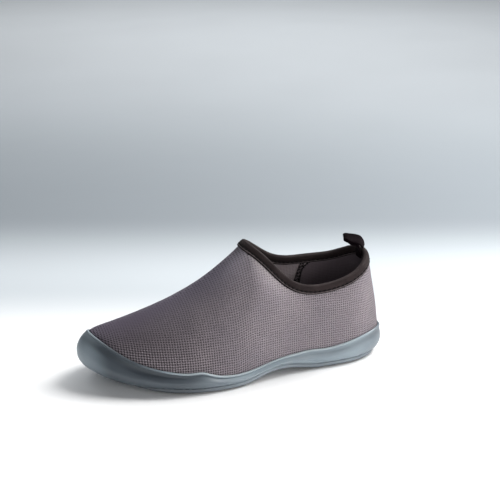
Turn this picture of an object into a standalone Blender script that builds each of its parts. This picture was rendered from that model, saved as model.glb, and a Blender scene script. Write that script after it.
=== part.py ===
"""Left indoor slip-on shoe: moulded cup sole, woven upper, bound collar and heel pull loop.

Every size is in millimetres. x runs from the back of the heel to the toe, +y is the outer (little toe)
side and z is the height over the floor. The finished objects are in metres, with the origin on the floor
at the middle of the sole.
"""

import math

import bmesh
import bpy
import numpy as np
from mathutils import Vector
from mathutils.bvhtree import BVHTree

MM = 0.001

# Overall sizes
LENGTH = 268.0
GAP = 0.3

# Underside of the sole
TOE_SPRING = 12.5
SPRING_FROM_X = 168.0
ARCH_LIFT = 5.0
ARCH_X = 108.0
ARCH_REACH = 38.0
HEEL_BEVEL = 5.5
HEEL_BEVEL_X = 17.0

# Outsole, which thins out under the toe
OUTSOLE_THICK = 4.6
OUTSOLE_TOE_THICK = 2.2
THINNING_FROM_X = 196.0
THINNING_TO_X = 250.0
EDGE_ROUND = 0.9
EDGE_RISE = 1.2
EDGE_FALL = 0.5
EDGE_SIDE = 0.2
TREAD_BORDER = 3.0
TREAD_SLANT = 0.7
LUG_HEIGHT = 1.4
LUG_MARGIN = 1.3
LUG_COLUMNS = 3

# Midsole cup: its wall swells out to a bulge, draws in to a neck and ends in a lip. The lip stands out
# over the neck by a bead, which fades where the rim is set in far, at the toe.
CUP_FLOOR_THICK = 1.8
CUP_FLOOR_TOP = OUTSOLE_THICK + GAP + CUP_FLOOR_THICK
BULGE_SHARE = 0.4
BULGE_TURNS_DEG = (35.0, 65.0, 90.0)
NECK_SHARES = (0.4, 0.75, 1.0)
NECK_POWER = 2.0
LIP_THICK = 2.0
LIP_HEIGHT = 2.8
LIP_SHARE = 0.3
LIP_BEAD = 0.6
BEAD_FADE_FROM = 4.0
BEAD_FADE_TO = 8.0

# Lip from its face to its inner edge: share of its thickness inwards, share of its height down
LIP_PROFILE = {
    "face": (0.0, 0.45),
    "shoulder": (0.15, 0.12),
    "crest": (0.5, 0.0),
    "inner_edge": (1.0, 0.14),
}

# Swells in the cup's rim: where along the shoe, how high, how far they reach
RIM_WAVES = {
    "heel_breast": (78.0, 1.0, 11.0),
    "ball_joint": (177.5, 2.2, 9.0),
}

# Insole: inwards from its edge in mm, share of its thickness up
INSOLE_THICK = 3.5
INSOLE_PROFILE = {
    "underside": (0.4, 0.0),
    "side": (0.0, 0.3),
    "shoulder": (0.2, 0.8),
    "top": (1.2, 1.0),
}

# Upper
UPPER_WALL = 1.8
BASE_BELOW_RIM = 1.4

# Collar binding
BINDING_SKIN = 1.3
BINDING_DROP = 6.2
BINDING_CROWN = 2.0
SLOT_SHARE = 0.5
THROAT_CLEAR = 0.45
THROAT_REACH = 18.0

# Flap of the binding from its edge upwards: share of its drop, share of its skin outwards
FLAP_PROFILE = {
    "edge": (1.0, 0.0),
    "edge_face": (1.0, 0.5),
    "swell": (0.85, 1.0),
    "flank": (0.45, 1.0),
}

# Heel pull loop
LOOP_STRAP_WIDTH = 10.0
LOOP_STRAP_THICK = 1.5
LOOP_STEPS = 2

# Numbers of facets
BACK_STEPS = 25
FRONT_STEPS = 20
THROAT_CROWDING = 1.3
END_STEP = 0.5
SOLE_STEPS = 36
WALL_ROWS = 10
CROWN_STEPS = 6
SHARP_DEG = 40.0

# Points closer than this are one point
TINY = 1e-5

# Sections of the sole from heel to toe. Each has a point of the widest outline on the outer and on the
# inner side with the height of the cup's rim there, how far the rim stands inside that outline, and how
# far the foot of the cup tucks under it.
SOLE_COLUMNS = ("out_x", "out_y", "out_rim", "in_x", "in_y", "in_rim", "rim_inset", "tuck")
SOLE_SECTIONS = {
    "heel_back": (0.0, -2.2, 21.8, 0.0, -2.2, 21.8, 0.8, 4.6),
    "heel_corner": (7.0, 17.0, 23.8, 7.0, -21.4, 23.8, 1.2, 3.8),
    "heel_side": (30.0, 31.5, 21.8, 30.0, -35.0, 21.8, 2.4, 2.0),
    "heel_front": (62.0, 34.8, 17.0, 62.0, -34.8, 18.2, 2.8, 1.2),
    "waist": (97.0, 36.9, 16.3, 97.0, -31.4, 18.2, 3.0, 1.6),
    "instep": (118.0, 41.1, 13.7, 118.0, -32.2, 17.1, 3.0, 1.4),
    "throat": (127.0, 43.4, 12.3, 127.0, -33.2, 16.4, 3.0, 1.0),
    "joint": (152.0, 48.4, 11.4, 152.0, -38.6, 15.4, 3.0, 0.4),
    "ball": (178.0, 48.7, 15.6, 178.0, -45.4, 17.0, 3.2, 0.6),
    "toes": (206.0, 44.0, 20.0, 206.0, -49.0, 20.0, 3.8, 1.8),
    "toe_side": (232.0, 32.2, 27.0, 232.0, -46.8, 26.0, 5.0, 4.4),
    "toe_corner": (253.5, 15.0, 36.6, 255.0, -36.4, 35.6, 7.0, 7.0),
    "toe_tip": (268.0, -14.0, 42.2, 268.0, -14.0, 42.2, 8.6, 8.4),
}

# The last over those sections: the top of its profile, the height of the collar's edge on the outer and
# the inner side, and a power that flattens the section, 1 for an ellipse and 2 for straight sides. Behind
# the throat the profile is the cone over the opening, which the collar cuts.
LAST_COLUMNS = ("ridge_x", "ridge_y", "ridge_z", "out_collar", "in_collar", "flatness")
LAST_SECTIONS = {
    "heel_back": (49.5, -2.2, 174.0, 89.4, 89.4, 1.5),
    "heel_corner": (51.5, -2.2, 170.0, 86.4, 88.4, 1.4),
    "heel_side": (57.0, -2.2, 158.0, 78.2, 81.9, 1.2),
    "heel_front": (72.0, -2.2, 147.0, 71.9, 81.8, 1.1),
    "waist": (99.0, -3.0, 134.0, 82.0, 88.4, 1.08),
    "instep": (117.4, -4.0, 116.6, 103.0, 103.0, 1.08),
    "throat": (125.2, -4.5, 108.3, 108.3, 108.3, 1.08),
    "joint": (152.0, -6.0, 85.6, 85.6, 85.6, 1.08),
    "ball": (178.0, -7.5, 69.2, 69.2, 69.2, 1.08),
    "toes": (206.0, -9.0, 57.2, 57.2, 57.2, 1.08),
    "toe_side": (231.0, -11.0, 48.9, 48.9, 48.9, 1.08),
    "toe_corner": (246.0, -12.5, 44.9, 44.9, 44.9, 1.1),
    "toe_tip": (253.5, -14.0, 42.6, 42.6, 42.6, 1.1),
}

# Middle line of the loop's strap at the back of the heel: forward from the collar's edge, aside to the
# outer side, up from the edge, how far the strap is rolled about that line with its outer edge down, and
# how far that edge swings forward.
LOOP_COLUMNS = ("forward", "aside", "up", "roll_deg", "swing_deg")
LOOP_ROUTE = {
    "outer_foot": (0.6, 0.0, 3.0, 0.0, 30.0),
    "outer_leg": (2.0, -0.4, 6.2, 10.0, 36.0),
    "crease_below": (4.8, -1.0, 9.0, 25.0, 40.0),
    "crease": (8.4, -2.2, 10.3, 29.0, 40.0),
    "crest": (12.0, -4.7, 10.5, 30.0, 26.0),
    "nose_top": (14.7, -6.9, 10.5, 30.0, 17.0),
    "nose": (15.6, -7.9, 9.4, 30.0, 16.0),
    "nose_under": (14.1, -7.5, 8.4, 30.0, 17.0),
    "under": (11.0, -5.2, 8.0, 30.0, 26.0),
    "under_crease": (5.8, -1.8, 6.4, 25.0, 28.0),
    "inner_leg": (5.4, -0.5, 3.2, 12.0, 10.0),
    "inner_edge": (5.7, 0.0, -0.8, 2.0, 0.0),
    "inner_foot": (4.8, 0.0, -6.0, 0.0, 0.0),
}

COLOURS = {
    "outsole": ((0.17, 0.21, 0.24), 0.55),
    "midsole": ((0.16, 0.20, 0.23), 0.45),
    "upper": ((0.17, 0.15, 0.16), 0.9),
    "collar_binding": ((0.03, 0.026, 0.027), 0.8),
    "pull_loop": ((0.015, 0.014, 0.015), 0.8),
    "insole": ((0.03, 0.028, 0.03), 0.9),
}


def floor_height(x):
    """Height of the sole's underside: flat at heel and ball, with arch, toe spring and heel bevel."""
    x = np.asarray(x, float)
    spring = TOE_SPRING * (np.clip(x - SPRING_FROM_X, 0, None) / (LENGTH - SPRING_FROM_X)) ** 2
    arch = ARCH_LIFT * np.clip(1 - ((x - ARCH_X) / ARCH_REACH) ** 2, 0, None) ** 2
    bevel = HEEL_BEVEL * (np.clip(HEEL_BEVEL_X - x, 0, None) / HEEL_BEVEL_X) ** 2
    return spring + arch + bevel


def outsole_top(x):
    """Height of the outsole's upper face, closer to its underside towards the toe."""
    share = np.clip((np.asarray(x, float) - THINNING_FROM_X) / (THINNING_TO_X - THINNING_FROM_X), 0, 1)
    eased = 3 * share**2 - 2 * share**3
    return floor_height(x) + OUTSOLE_THICK + (OUTSOLE_TOE_THICK - OUTSOLE_THICK) * eased


def spline(knots, values, at, period=None):
    """Smooth curve through values at knots, closed over a period or with straight ends."""
    knots, values, at = np.asarray(knots), np.asarray(values, float), np.asarray(at)
    count = len(knots)
    if period:
        at = at % period
    step = np.diff(np.append(knots, knots[0] + period if period else knots[-1] + 1))
    slope = (np.roll(values, -1) - values) / step
    matrix = np.eye(count)
    right = np.zeros(count)
    for k in range(count) if period else range(1, count - 1):
        before = (k - 1) % count
        matrix[k, before] = step[before]
        matrix[k, k] = 2 * (step[before] + step[k])
        matrix[k, (k + 1) % count] = step[k]
        right[k] = 6 * (slope[k] - slope[before])
    bend = np.linalg.solve(matrix, right)
    k = np.clip(np.searchsorted(knots, at, side="right") - 1, 0, count - (1 if period else 2))
    after = (k + 1) % count
    u = at - knots[k]
    linear = slope[k] - step[k] * (2 * bend[k] + bend[after]) / 6
    return values[k] + u * linear + u**2 * bend[k] / 2 + u**3 * (bend[after] - bend[k]) / (6 * step[k])


class Ring:
    """The section tables read at steps round the shoe: heel, outer side, toe, inner side, heel."""

    def __init__(self, side_places):
        outer = np.hypot(np.diff(self.column("out_x")), np.diff(self.column("out_y")))
        inner = np.hypot(np.diff(self.column("in_x")), np.diff(self.column("in_y")))
        along = np.append(0, np.cumsum(outer + inner))
        self.knots = along / along[-1]
        self.side = np.asarray(side_places)
        self.count = len(self.side) - 1
        self.place = np.concatenate([self.side, 2 - self.side[-2:0:-1]])
        self.x, self.y = self.read("out_x", "in_x"), self.read("out_y", "in_y")
        turn_x, turn_y = (self.slope(*names) for names in (("out_x", "in_x"), ("out_y", "in_y")))
        size = np.hypot(turn_x, turn_y)
        self.normal = np.stack([-turn_y, turn_x], axis=1) / size[:, None]
        self.rim = self.read("out_rim", "in_rim") + self.rim_wave()
        self.rim_inset = self.read("rim_inset")
        self.tuck = self.read("tuck")
        self.ridge = np.stack([self.read(name) for name in ("ridge_x", "ridge_y", "ridge_z")], axis=1)
        self.flatness = self.read("flatness")
        self.collar = self.read_collar()

    def column(self, name):
        if name in SOLE_COLUMNS:
            return [row[SOLE_COLUMNS.index(name)] for row in SOLE_SECTIONS.values()]
        return [row[LAST_COLUMNS.index(name)] for row in LAST_SECTIONS.values()]

    def read(self, outer, inner=None, shift=0.0):
        there, back = self.column(outer), self.column(inner or outer)
        knots = np.concatenate([self.knots, 2 - self.knots[-2:0:-1]])
        return spline(knots, there + back[-2:0:-1], self.place + shift, period=2.0)

    def read_collar(self):
        """Height of the collar's edge from throat to throat round the heel, and of the ridge in front."""
        outer, inner = self.column("out_collar"), self.column("in_collar")
        last = list(LAST_SECTIONS).index("throat")
        knots = np.concatenate([-self.knots[last:0:-1], self.knots[: last + 1]])
        signed = np.where(self.place > 1, self.place - 2, self.place)
        collar = spline(knots, inner[last:0:-1] + outer[: last + 1], signed)
        return np.where(np.abs(signed) < knots[-1] - TINY, collar, self.ridge[:, 2])

    def slope(self, outer, inner):
        return self.read(outer, inner, TINY) - self.read(outer, inner, -TINY)

    def rim_wave(self):
        return sum(high * np.exp(-(((self.x - x) / reach) ** 2)) for x, high, reach in RIM_WAVES.values())

    def inset(self, distance):
        """Plan points that far inside the widest outline."""
        return np.stack([self.x, self.y], axis=1) - np.asarray(distance).reshape(-1, 1) * self.normal

    def over(self, surface, distance, height):
        """Points inset from the outline, at a height over a surface of the sole."""
        plan = self.inset(distance)
        return np.column_stack([plan, surface(plan[:, 0]) + height])

    def at_height(self, distance, z):
        return np.column_stack([self.inset(distance), z])

    def partner(self, k):
        """The step across the shoe, on the other side of the same section."""
        return (2 * self.count - k) % (2 * self.count)


def throat_place():
    return Ring([0.0, 1.0]).knots[list(SOLE_SECTIONS).index("throat")]


def last_ring():
    """Steps that crowd towards the throat, where the collar turns across the shoe."""
    throat = throat_place()
    back = throat * (1 - (1 - crowded(BACK_STEPS)[:-1]) ** THROAT_CROWDING)
    front = throat + (1 - throat) * crowded(FRONT_STEPS) ** THROAT_CROWDING
    return Ring(np.append(back, front))


def crowded(steps):
    """Shares from 0 to 1 that are closer together at both ends."""
    share = np.linspace(0, 1, steps + 1)
    return END_STEP * share + (1 - END_STEP) * (3 * share**2 - 2 * share**3)


class Solid:
    """Collects points and faces of one closed body."""

    def __init__(self):
        self.points = []
        self.faces = []

    def add(self, points):
        start = len(self.points)
        self.points.extend(np.asarray(points, float))
        return list(range(start, len(self.points)))

    def strip(self, lower, upper, closed=True):
        count = len(lower)
        for k in range(count if closed else count - 1):
            after = (k + 1) % count
            self.faces.append((lower[k], lower[after], upper[after], upper[k]))

    def ladder(self, ring, row, columns=1):
        """Closes a ring with faces from side to side, each section split into columns."""
        rungs = []
        for k in range(ring.count + 1):
            near, far = row[k], row[ring.partner(k)]
            if near == far:
                rungs.append([near] * (columns + 1))
                continue
            a, b = self.points[near], self.points[far]
            shares = np.arange(1, columns) / columns
            rungs.append([near, *self.add([a + (b - a) * share for share in shares]), far])
        made = []
        for low, high in zip(rungs, rungs[1:]):
            for j in range(columns):
                corners = (low[j], low[j + 1], high[j + 1], high[j])
                made.append(tuple(dict.fromkeys(corners)))
        self.faces.extend(made)
        return len(self.faces) - len(made), len(self.faces)

    def build(self, name, raised=None):
        """One object from the points, with its faces turned outwards. Faces in raised become lugs."""
        mesh = bpy.data.meshes.new(name)
        form = bmesh.new()
        middle = np.array([LENGTH / 2, 0.0, 0.0])
        corners = [form.verts.new(Vector((point - middle) * MM)) for point in self.points]
        faces = [form.faces.new([corners[k] for k in face]) for face in self.faces]
        bmesh.ops.remove_doubles(form, verts=form.verts, dist=TINY * MM)
        bmesh.ops.recalc_face_normals(form, faces=form.faces)
        if raised:
            lugs = [face for face in faces[slice(*raised)] if face.is_valid and len(face.verts) == 4]
            bmesh.ops.inset_individual(
                form, faces=lugs, thickness=LUG_MARGIN * MM, depth=LUG_HEIGHT * MM, use_even_offset=True
            )
        form.to_mesh(mesh)
        form.free()
        mesh.shade_smooth()
        mesh.set_sharp_from_angle(angle=math.radians(SHARP_DEG))
        made = bpy.data.objects.new(name, mesh)
        bpy.context.scene.collection.objects.link(made)
        mesh.materials.append(finish(name))
        return made


def finish(name):
    colour, roughness = COLOURS[name]
    material = bpy.data.materials.new(name)
    material.use_nodes = True
    shader = material.node_tree.nodes["Principled BSDF"]
    shader.inputs["Base Color"].default_value = (*colour, 1.0)
    shader.inputs["Roughness"].default_value = roughness
    shader.inputs["Metallic"].default_value = 0.0
    return material


def outsole():
    """Bottom layer with a flat border round a tread of low blocks."""
    ring = Ring(np.linspace(0, 1, SOLE_STEPS + 1))
    edge = ring.tuck + EDGE_ROUND
    side = ring.tuck + EDGE_SIDE
    solid = Solid()
    rows = [
        solid.add(ring.over(floor_height, edge + TREAD_BORDER + TREAD_SLANT, LUG_HEIGHT)),
        solid.add(ring.over(floor_height, edge + TREAD_BORDER, 0.0)),
        solid.add(ring.over(floor_height, edge, 0.0)),
        solid.add(ring.over(floor_height, side, EDGE_RISE)),
        solid.add(ring.over(outsole_top, side, -EDGE_FALL)),
        solid.add(ring.over(outsole_top, edge, 0.0)),
    ]
    for lower, upper_row in zip(rows, rows[1:]):
        solid.strip(lower, upper_row)
    raised = solid.ladder(ring, rows[0], LUG_COLUMNS)
    solid.ladder(ring, rows[-1])
    return solid.build("outsole", raised)


def midsole(ring):
    """Cup with a floor and a wall that rises round the upper to a rounded lip."""
    foot = ring.over(outsole_top, ring.tuck + EDGE_ROUND, GAP)
    base = foot[:, 2]
    rise = ring.rim - base
    bulge = base + BULGE_SHARE * rise
    lip = np.minimum(LIP_HEIGHT, LIP_SHARE * rise)
    bead = LIP_BEAD * np.clip((BEAD_FADE_TO - ring.rim_inset) / (BEAD_FADE_TO - BEAD_FADE_FROM), 0, 1)
    solid = Solid()
    rows = [solid.add(foot)]
    for turn in np.radians(BULGE_TURNS_DEG):
        inset = (ring.tuck + EDGE_ROUND) * (1 - np.sin(turn))
        rows.append(solid.add(ring.at_height(inset, base + (bulge - base) * (1 - np.cos(turn)))))
    for share in NECK_SHARES:
        inset = (ring.rim_inset + bead) * share**NECK_POWER
        rows.append(solid.add(ring.at_height(inset, bulge + share * (ring.rim - lip - bulge))))
    for inward, down in LIP_PROFILE.values():
        rows.append(solid.add(ring.at_height(ring.rim_inset + inward * LIP_THICK, ring.rim - down * lip)))
    rows.append(solid.add(ring.over(floor_height, ring.rim_inset + LIP_THICK, CUP_FLOOR_TOP)))
    for lower, upper_row in zip(rows, rows[1:]):
        solid.strip(lower, upper_row)
    solid.ladder(ring, rows[0])
    solid.ladder(ring, rows[-1])
    return solid.build("midsole")


def insole(ring):
    """Flat foam sock that lies on the cup's floor inside the upper."""
    edge = ring.rim_inset + LIP_THICK + GAP + UPPER_WALL + GAP
    solid = Solid()
    rows = []
    for inward, share in INSOLE_PROFILE.values():
        height = CUP_FLOOR_TOP + GAP + share * INSOLE_THICK
        rows.append(solid.add(ring.over(floor_height, edge + inward, height)))
    for lower, upper_row in zip(rows, rows[1:]):
        solid.strip(lower, upper_row)
    solid.ladder(ring, rows[0])
    solid.ladder(ring, rows[-1])
    return solid.build("insole")


def wall_rows(ring):
    """Rows of the upper's outer face, from its edge on the cup's floor to the collar or the ridge."""
    inset = ring.rim_inset + LIP_THICK + GAP
    foot = ring.over(floor_height, inset, CUP_FLOOR_TOP + GAP)
    base = ring.at_height(inset, ring.rim - BASE_BELOW_RIM)
    height = ring.ridge[:, 2] - base[:, 2]
    share = np.clip((ring.collar - base[:, 2]) / height, 0, 1)
    last_turn = np.arcsin(share ** (1 / ring.flatness))
    rows = [foot]
    for j in range(WALL_ROWS + 1):
        turn = last_turn * j / WALL_ROWS
        reach = np.clip(np.cos(turn), 0, None) ** ring.flatness
        reach[turn > math.pi / 2 - TINY] = 0.0
        plan = ring.ridge[:, :2] + (base[:, :2] - ring.ridge[:, :2]) * reach[:, None]
        rows.append(np.column_stack([plan, base[:, 2] + height * np.sin(turn) ** ring.flatness]))
    return np.array(rows)


def place_key(point):
    return tuple(np.round(point / TINY).astype(int))


def face_normals(points, faces):
    """Unit normals of points, each the mean of its faces weighted by area. Shared points count as one."""
    key = {}
    index = np.array([key.setdefault(place_key(point), len(key)) for point in points])
    total = np.zeros((len(key), 3))
    for face in faces:
        corners = points[list(face)]
        area = sum(
            np.cross(corners[j] - corners[0], corners[j + 1] - corners[0]) for j in range(1, len(face) - 1)
        )
        for k in face:
            total[index[k]] += area
    normals = total[index]
    return normals / np.linalg.norm(normals, axis=1)[:, None]


def wall_faces(ring, rows):
    """Points and faces of the upper's outer face as one open sheet, with its faces turned outwards."""
    around = 2 * ring.count
    points = rows.reshape(-1, 3)
    faces = []
    for j in range(len(rows) - 1):
        for k in range(around):
            after = (k + 1) % around
            corners = (j * around + k, (j + 1) * around + k, (j + 1) * around + after, j * around + after)
            at_place = {place_key(points[corner]): corner for corner in corners}
            faces.append(tuple(at_place.values()))
    return points, faces


def collar_steps():
    """Ring steps of the collar: heel, outer side, throat, inner side."""
    return list(range(BACK_STEPS + 1)) + list(range(-BACK_STEPS + 1, 0))


def upper(ring):
    """Woven shell of one wall thickness, open at the collar and underneath."""
    rows = wall_rows(ring)
    points, faces = wall_faces(ring, rows)
    inner = points - UPPER_WALL * face_normals(points, faces)
    solid = Solid()
    outer_ids, inner_ids = solid.add(points), solid.add(inner)
    for face in faces:
        solid.faces.append(tuple(outer_ids[k] for k in face))
        solid.faces.append(tuple(inner_ids[k] for k in reversed(face)))
    around = 2 * ring.count
    solid.strip(inner_ids[:around], outer_ids[:around])
    top = [len(points) - around + k % around for k in collar_steps()]
    solid.strip([outer_ids[k] for k in top], [inner_ids[k] for k in top])
    return solid.build("upper")


class Collar:
    """The collar's edge as a closed loop, with the wall's faces for what is laid against them."""

    def __init__(self, ring):
        rows = wall_rows(ring)
        points, faces = wall_faces(ring, rows)
        normals = face_normals(points, faces)
        around = 2 * ring.count
        top = [len(points) - around + k % around for k in collar_steps()]
        below = [k - around for k in top]
        self.edge, self.out = points[top], normals[top]
        along = np.roll(self.edge, -1, axis=0) - np.roll(self.edge, 1, axis=0)
        self.up = np.cross(self.out, along)
        self.up /= np.linalg.norm(self.up, axis=1)[:, None]
        if np.sum(self.up * (self.edge - points[below])) < 0:
            self.up = -self.up
        self.outer_face = BVHTree.FromPolygons([Vector(p) for p in points], faces)
        inside = points - UPPER_WALL * normals
        self.inner_face = BVHTree.FromPolygons([Vector(p) for p in inside], faces)

    def beside(self, drop, clear, outside=True):
        """Points that far down from the edge, clear of the wall's outer or inner face."""
        depth = 0.0 if outside else UPPER_WALL
        start = self.edge - drop * self.up - depth * self.out
        face = self.outer_face if outside else self.inner_face
        found = [face.find_nearest(Vector(point)) for point in start]
        sign = 1.0 if outside else -1.0
        from_throat = np.linalg.norm(self.edge - self.edge[BACK_STEPS], axis=1)
        more = THROAT_CLEAR * np.exp(-((from_throat / THROAT_REACH) ** 2)) * min(drop / BINDING_DROP, 1)
        places, normals = (np.array([hit[part] for hit in found]) for part in (0, 1))
        return places + sign * (clear + more)[:, None] * normals

    def over(self, aside, rise):
        """Points over the edge, aside from the middle of the wall."""
        return self.edge - UPPER_WALL / 2 * self.out + aside * self.out + rise * self.up


def collar_binding(collar):
    """Folded band that holds the collar's edge in its slot."""
    half = UPPER_WALL / 2 + GAP + BINDING_SKIN
    flap = [(drop * BINDING_DROP, GAP + skin * BINDING_SKIN) for drop, skin in FLAP_PROFILE.values()]
    rows = [collar.beside(drop, clear) for drop, clear in flap]
    for j in range(CROWN_STEPS + 1):
        turn = math.pi * j / CROWN_STEPS
        rows.append(collar.over(half * math.cos(turn), BINDING_CROWN * math.sin(turn)))
    rows += [collar.beside(drop, clear, outside=False) for drop, clear in reversed(flap)]
    rows += [
        collar.beside(SLOT_SHARE * BINDING_DROP, GAP, outside=False),
        collar.over(-UPPER_WALL / 2 - GAP, GAP),
        collar.over(UPPER_WALL / 2 + GAP, GAP),
        collar.beside(SLOT_SHARE * BINDING_DROP, GAP),
    ]
    solid = Solid()
    made = [solid.add(row) for row in rows]
    for lower, upper_row in zip(made, made[1:] + made[:1]):
        solid.strip(lower, upper_row)
    return solid.build("collar_binding")


def smooth_path(points, steps):
    """Catmull-Rom curve through the points, with that many steps between each two."""
    points = np.asarray(points, float)
    ends = np.vstack([2 * points[0] - points[1], points, 2 * points[-1] - points[-2]])
    made = []
    for a, b, c, d in zip(ends, ends[1:], ends[2:], ends[3:]):
        for u in np.arange(steps) / steps:
            curve = 2 * b + (c - a) * u + (2 * a - 5 * b + 4 * c - d) * u**2 + (3 * b - a - 3 * c + d) * u**3
            made.append(curve / 2)
    return np.array(made + [points[-1]])


def pull_loop(collar):
    """Webbing loop sewn inside the binding at the heel, which leans forward over the opening."""
    start = collar.edge[0]
    route = dict(zip(LOOP_COLUMNS, smooth_path(list(LOOP_ROUTE.values()), LOOP_STEPS).T))
    middle = start + np.column_stack([route[name] for name in ("forward", "aside", "up")])
    roll, swing = np.radians(route["roll_deg"]), np.radians(route["swing_deg"])
    across = np.column_stack([np.cos(roll) * np.sin(swing), np.cos(roll) * np.cos(swing), -np.sin(roll)])
    across *= LOOP_STRAP_WIDTH / 2
    through = np.cross(np.gradient(middle, axis=0), across)
    through *= LOOP_STRAP_THICK / 2 / np.linalg.norm(through, axis=1)[:, None]
    solid = Solid()
    edges = (middle + across + through, middle + across - through)
    edges += (middle - across - through, middle - across + through)
    rows = [solid.add(edge) for edge in edges]
    for one, other in zip(rows, rows[1:] + rows[:1]):
        solid.strip(one, other, closed=False)
    for end in (0, -1):
        solid.faces.append(tuple(row[end] for row in rows))
    return solid.build("pull_loop")


def main():
    for old in list(bpy.data.objects):
        bpy.data.objects.remove(old)
    ring = last_ring()
    outsole()
    midsole(ring)
    insole(ring)
    upper(ring)
    collar = Collar(ring)
    collar_binding(collar)
    pull_loop(collar)


main()
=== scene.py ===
import math

import bmesh
import bpy
import numpy as np
from mathutils import Matrix, Vector
from mathutils.bvhtree import BVHTree


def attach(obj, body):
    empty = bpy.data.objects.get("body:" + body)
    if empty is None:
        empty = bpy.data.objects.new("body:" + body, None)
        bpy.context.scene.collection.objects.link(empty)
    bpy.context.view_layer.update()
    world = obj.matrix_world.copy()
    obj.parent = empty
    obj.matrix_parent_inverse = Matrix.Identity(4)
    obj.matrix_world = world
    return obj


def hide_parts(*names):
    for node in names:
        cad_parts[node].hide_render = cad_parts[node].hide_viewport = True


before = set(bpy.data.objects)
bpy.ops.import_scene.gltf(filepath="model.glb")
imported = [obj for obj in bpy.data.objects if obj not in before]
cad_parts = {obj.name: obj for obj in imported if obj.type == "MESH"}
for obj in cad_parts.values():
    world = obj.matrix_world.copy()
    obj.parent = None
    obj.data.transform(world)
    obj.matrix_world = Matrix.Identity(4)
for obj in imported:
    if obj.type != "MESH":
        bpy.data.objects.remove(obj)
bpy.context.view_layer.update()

# Left indoor slip-on shoe. Sizes are in millimetres in the part's own frame: x from the back of the heel
# to the toe, +y the outer side, z over the floor. Objects are made in metres in the row frame.
# Two numbers under a name that ends in _X, _Y, _UP, _DOWN or _ASIDE are where a smooth step begins and ends.
MM = 0.001
LENGTH = 268.0
GAP = 0.3
TINY = 1e-5
MERGE = 0.004
SHARP_DEG = 50.0
MARKS = ("tone", "relief", "cool")

# Numbers of steps
BACK_STEPS = 150
FRONT_STEPS = 120
THROAT_CROWDING = 1.3
END_STEP = 0.5
WALL_ROWS = 62
BULGE_ROWS = 10
NECK_ROWS = 14
CROWN_STEPS = 14
LOOP_STEPS = 8
STITCH_SIDES = 8
PANEL_EDGE_STEPS = 45
CLOSING_COLUMNS = 4
SOCK_COLUMNS = 40

# Underside of the sole
TOE_SPRING = 12.5
SPRING_FROM_X = 168.0
ARCH_LIFT = 5.0
ARCH_X = 108.0
ARCH_REACH = 38.0
HEEL_BEVEL = 5.5
HEEL_BEVEL_X = 17.0

# Outsole
OUTSOLE_THICK = 4.6
OUTSOLE_TOE_THICK = 2.2
THINNING_X = (196.0, 250.0)
EDGE_ROUND = 0.9
EDGE_SIDE = 0.2
TREAD_BORDER = 3.0
TREAD_SLANT = 0.7
LUG_HEIGHT = 1.4
LUG_MARGIN = 1.3
LUG_BEVEL = 0.35
LUG_COLUMNS = 3
LUG_ROWS = 36
LUG_LEAST = 0.2

# Side of the outsole from its underside up: inset from the cup's foot, height as a share of the thickness
OUTSOLE_SIDE = {
    "underside": (3.4, 0.0),
    "turn_low": (2.3, 0.07),
    "turn": (1.3, 0.2),
    "turn_high": (0.6, 0.36),
    "wall_low": (EDGE_SIDE, 0.52),
    "wall": (EDGE_SIDE, 0.78),
    "shoulder": (0.26, 0.88),
    "shoulder_top": (0.5, 0.96),
    "top": (EDGE_ROUND, 1.0),
}

# Block of the tread from its foot: inset from its cell's edge, share of its height down
LUG_PROFILE = {
    "foot": (0.7 * LUG_MARGIN, 0.0),
    "side": (LUG_MARGIN, 0.75),
    "top": (LUG_MARGIN + LUG_BEVEL, 1.0),
}

# The cup's foot comes down over the outsole's edge at the toe and the heel
COVER_TOE_X = (214.0, 240.0)
COVER_HEEL_X = (2.0, 20.0)
FOOT_COVER = 1.3
FOOT_LIP = 0.6
TOE_SETBACK = 1.6
HEEL_SETBACK = 0.8

# Midsole cup
CUP_FLOOR_THICK = 1.8
CUP_FLOOR_TOP = OUTSOLE_THICK + GAP + CUP_FLOOR_THICK
BULGE_SHARE = 0.4
NECK_POWER = 2.3
NECK_HOLLOW = 0.75
LIP_THICK = 2.0
LIP_SHARE = 0.3
LIP_BEAD = 0.8
BEAD_FADE_FROM = 4.0
BEAD_FADE_TO = 8.0

# Lip from its face to its inner edge: share of its thickness inwards, share of its height down
LIP_PROFILE = {
    "undercut": (0.1, 0.9),
    "face_low": (0.02, 0.74),
    "face": (0.0, 0.56),
    "shoulder_low": (0.07, 0.36),
    "shoulder": (0.21, 0.17),
    "crest_out": (0.4, 0.05),
    "crest": (0.6, 0.0),
    "crest_in": (0.82, 0.04),
    "inner_edge": (1.0, 0.16),
}

# Waves of the rim: x, height, reach
RIM_WAVES = {
    "heel_breast": (78.0, 1.0, 11.0),
    "ball_joint": (177.5, 2.2, 9.0),
}

# Painted shade on the rubber: it darkens from the ball to the toe's sides, is lighter at the tip and darker
# at the heel
SOLE_DARK_X = (130.0, 200.0)
SOLE_TIP_X = (246.0, 264.0)
SOLE_TIP_TONE = 0.25
SOLE_HEEL_X = (4.0, 42.0)
SOLE_HEEL_TONE = 0.62
SOLE_BACK_X = (88.0, 125.0)
SOLE_BACK_TONE = 0.15
SOLE_TOE_TONE = 0.92
# A painted shade band runs under the lip, and the lip's crest carries a painted highlight
BAND_TONE = 0.35
BAND_MIDDLE = 0.3
BAND_HEEL = 0.35
BAND_HEEL_X = (60.0, 105.0)
BAND_TOE_X = (192.0, 222.0)
BAND_DOWN = 4.6
BAND_REACH = 2.6
LIP_HIGHLIGHT_ROWS = ("shoulder_low", "shoulder", "crest_out", "crest", "crest_in")
LIP_HIGHLIGHT_TONE = -0.35
LIP_HEEL_X = (0.0, 60.0)
LIP_TOE_X = (190.0, 236.0)
# Painted contact shadow on the edge that touches the floor
CONTACT_SHADE_TONE = 2.0

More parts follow.
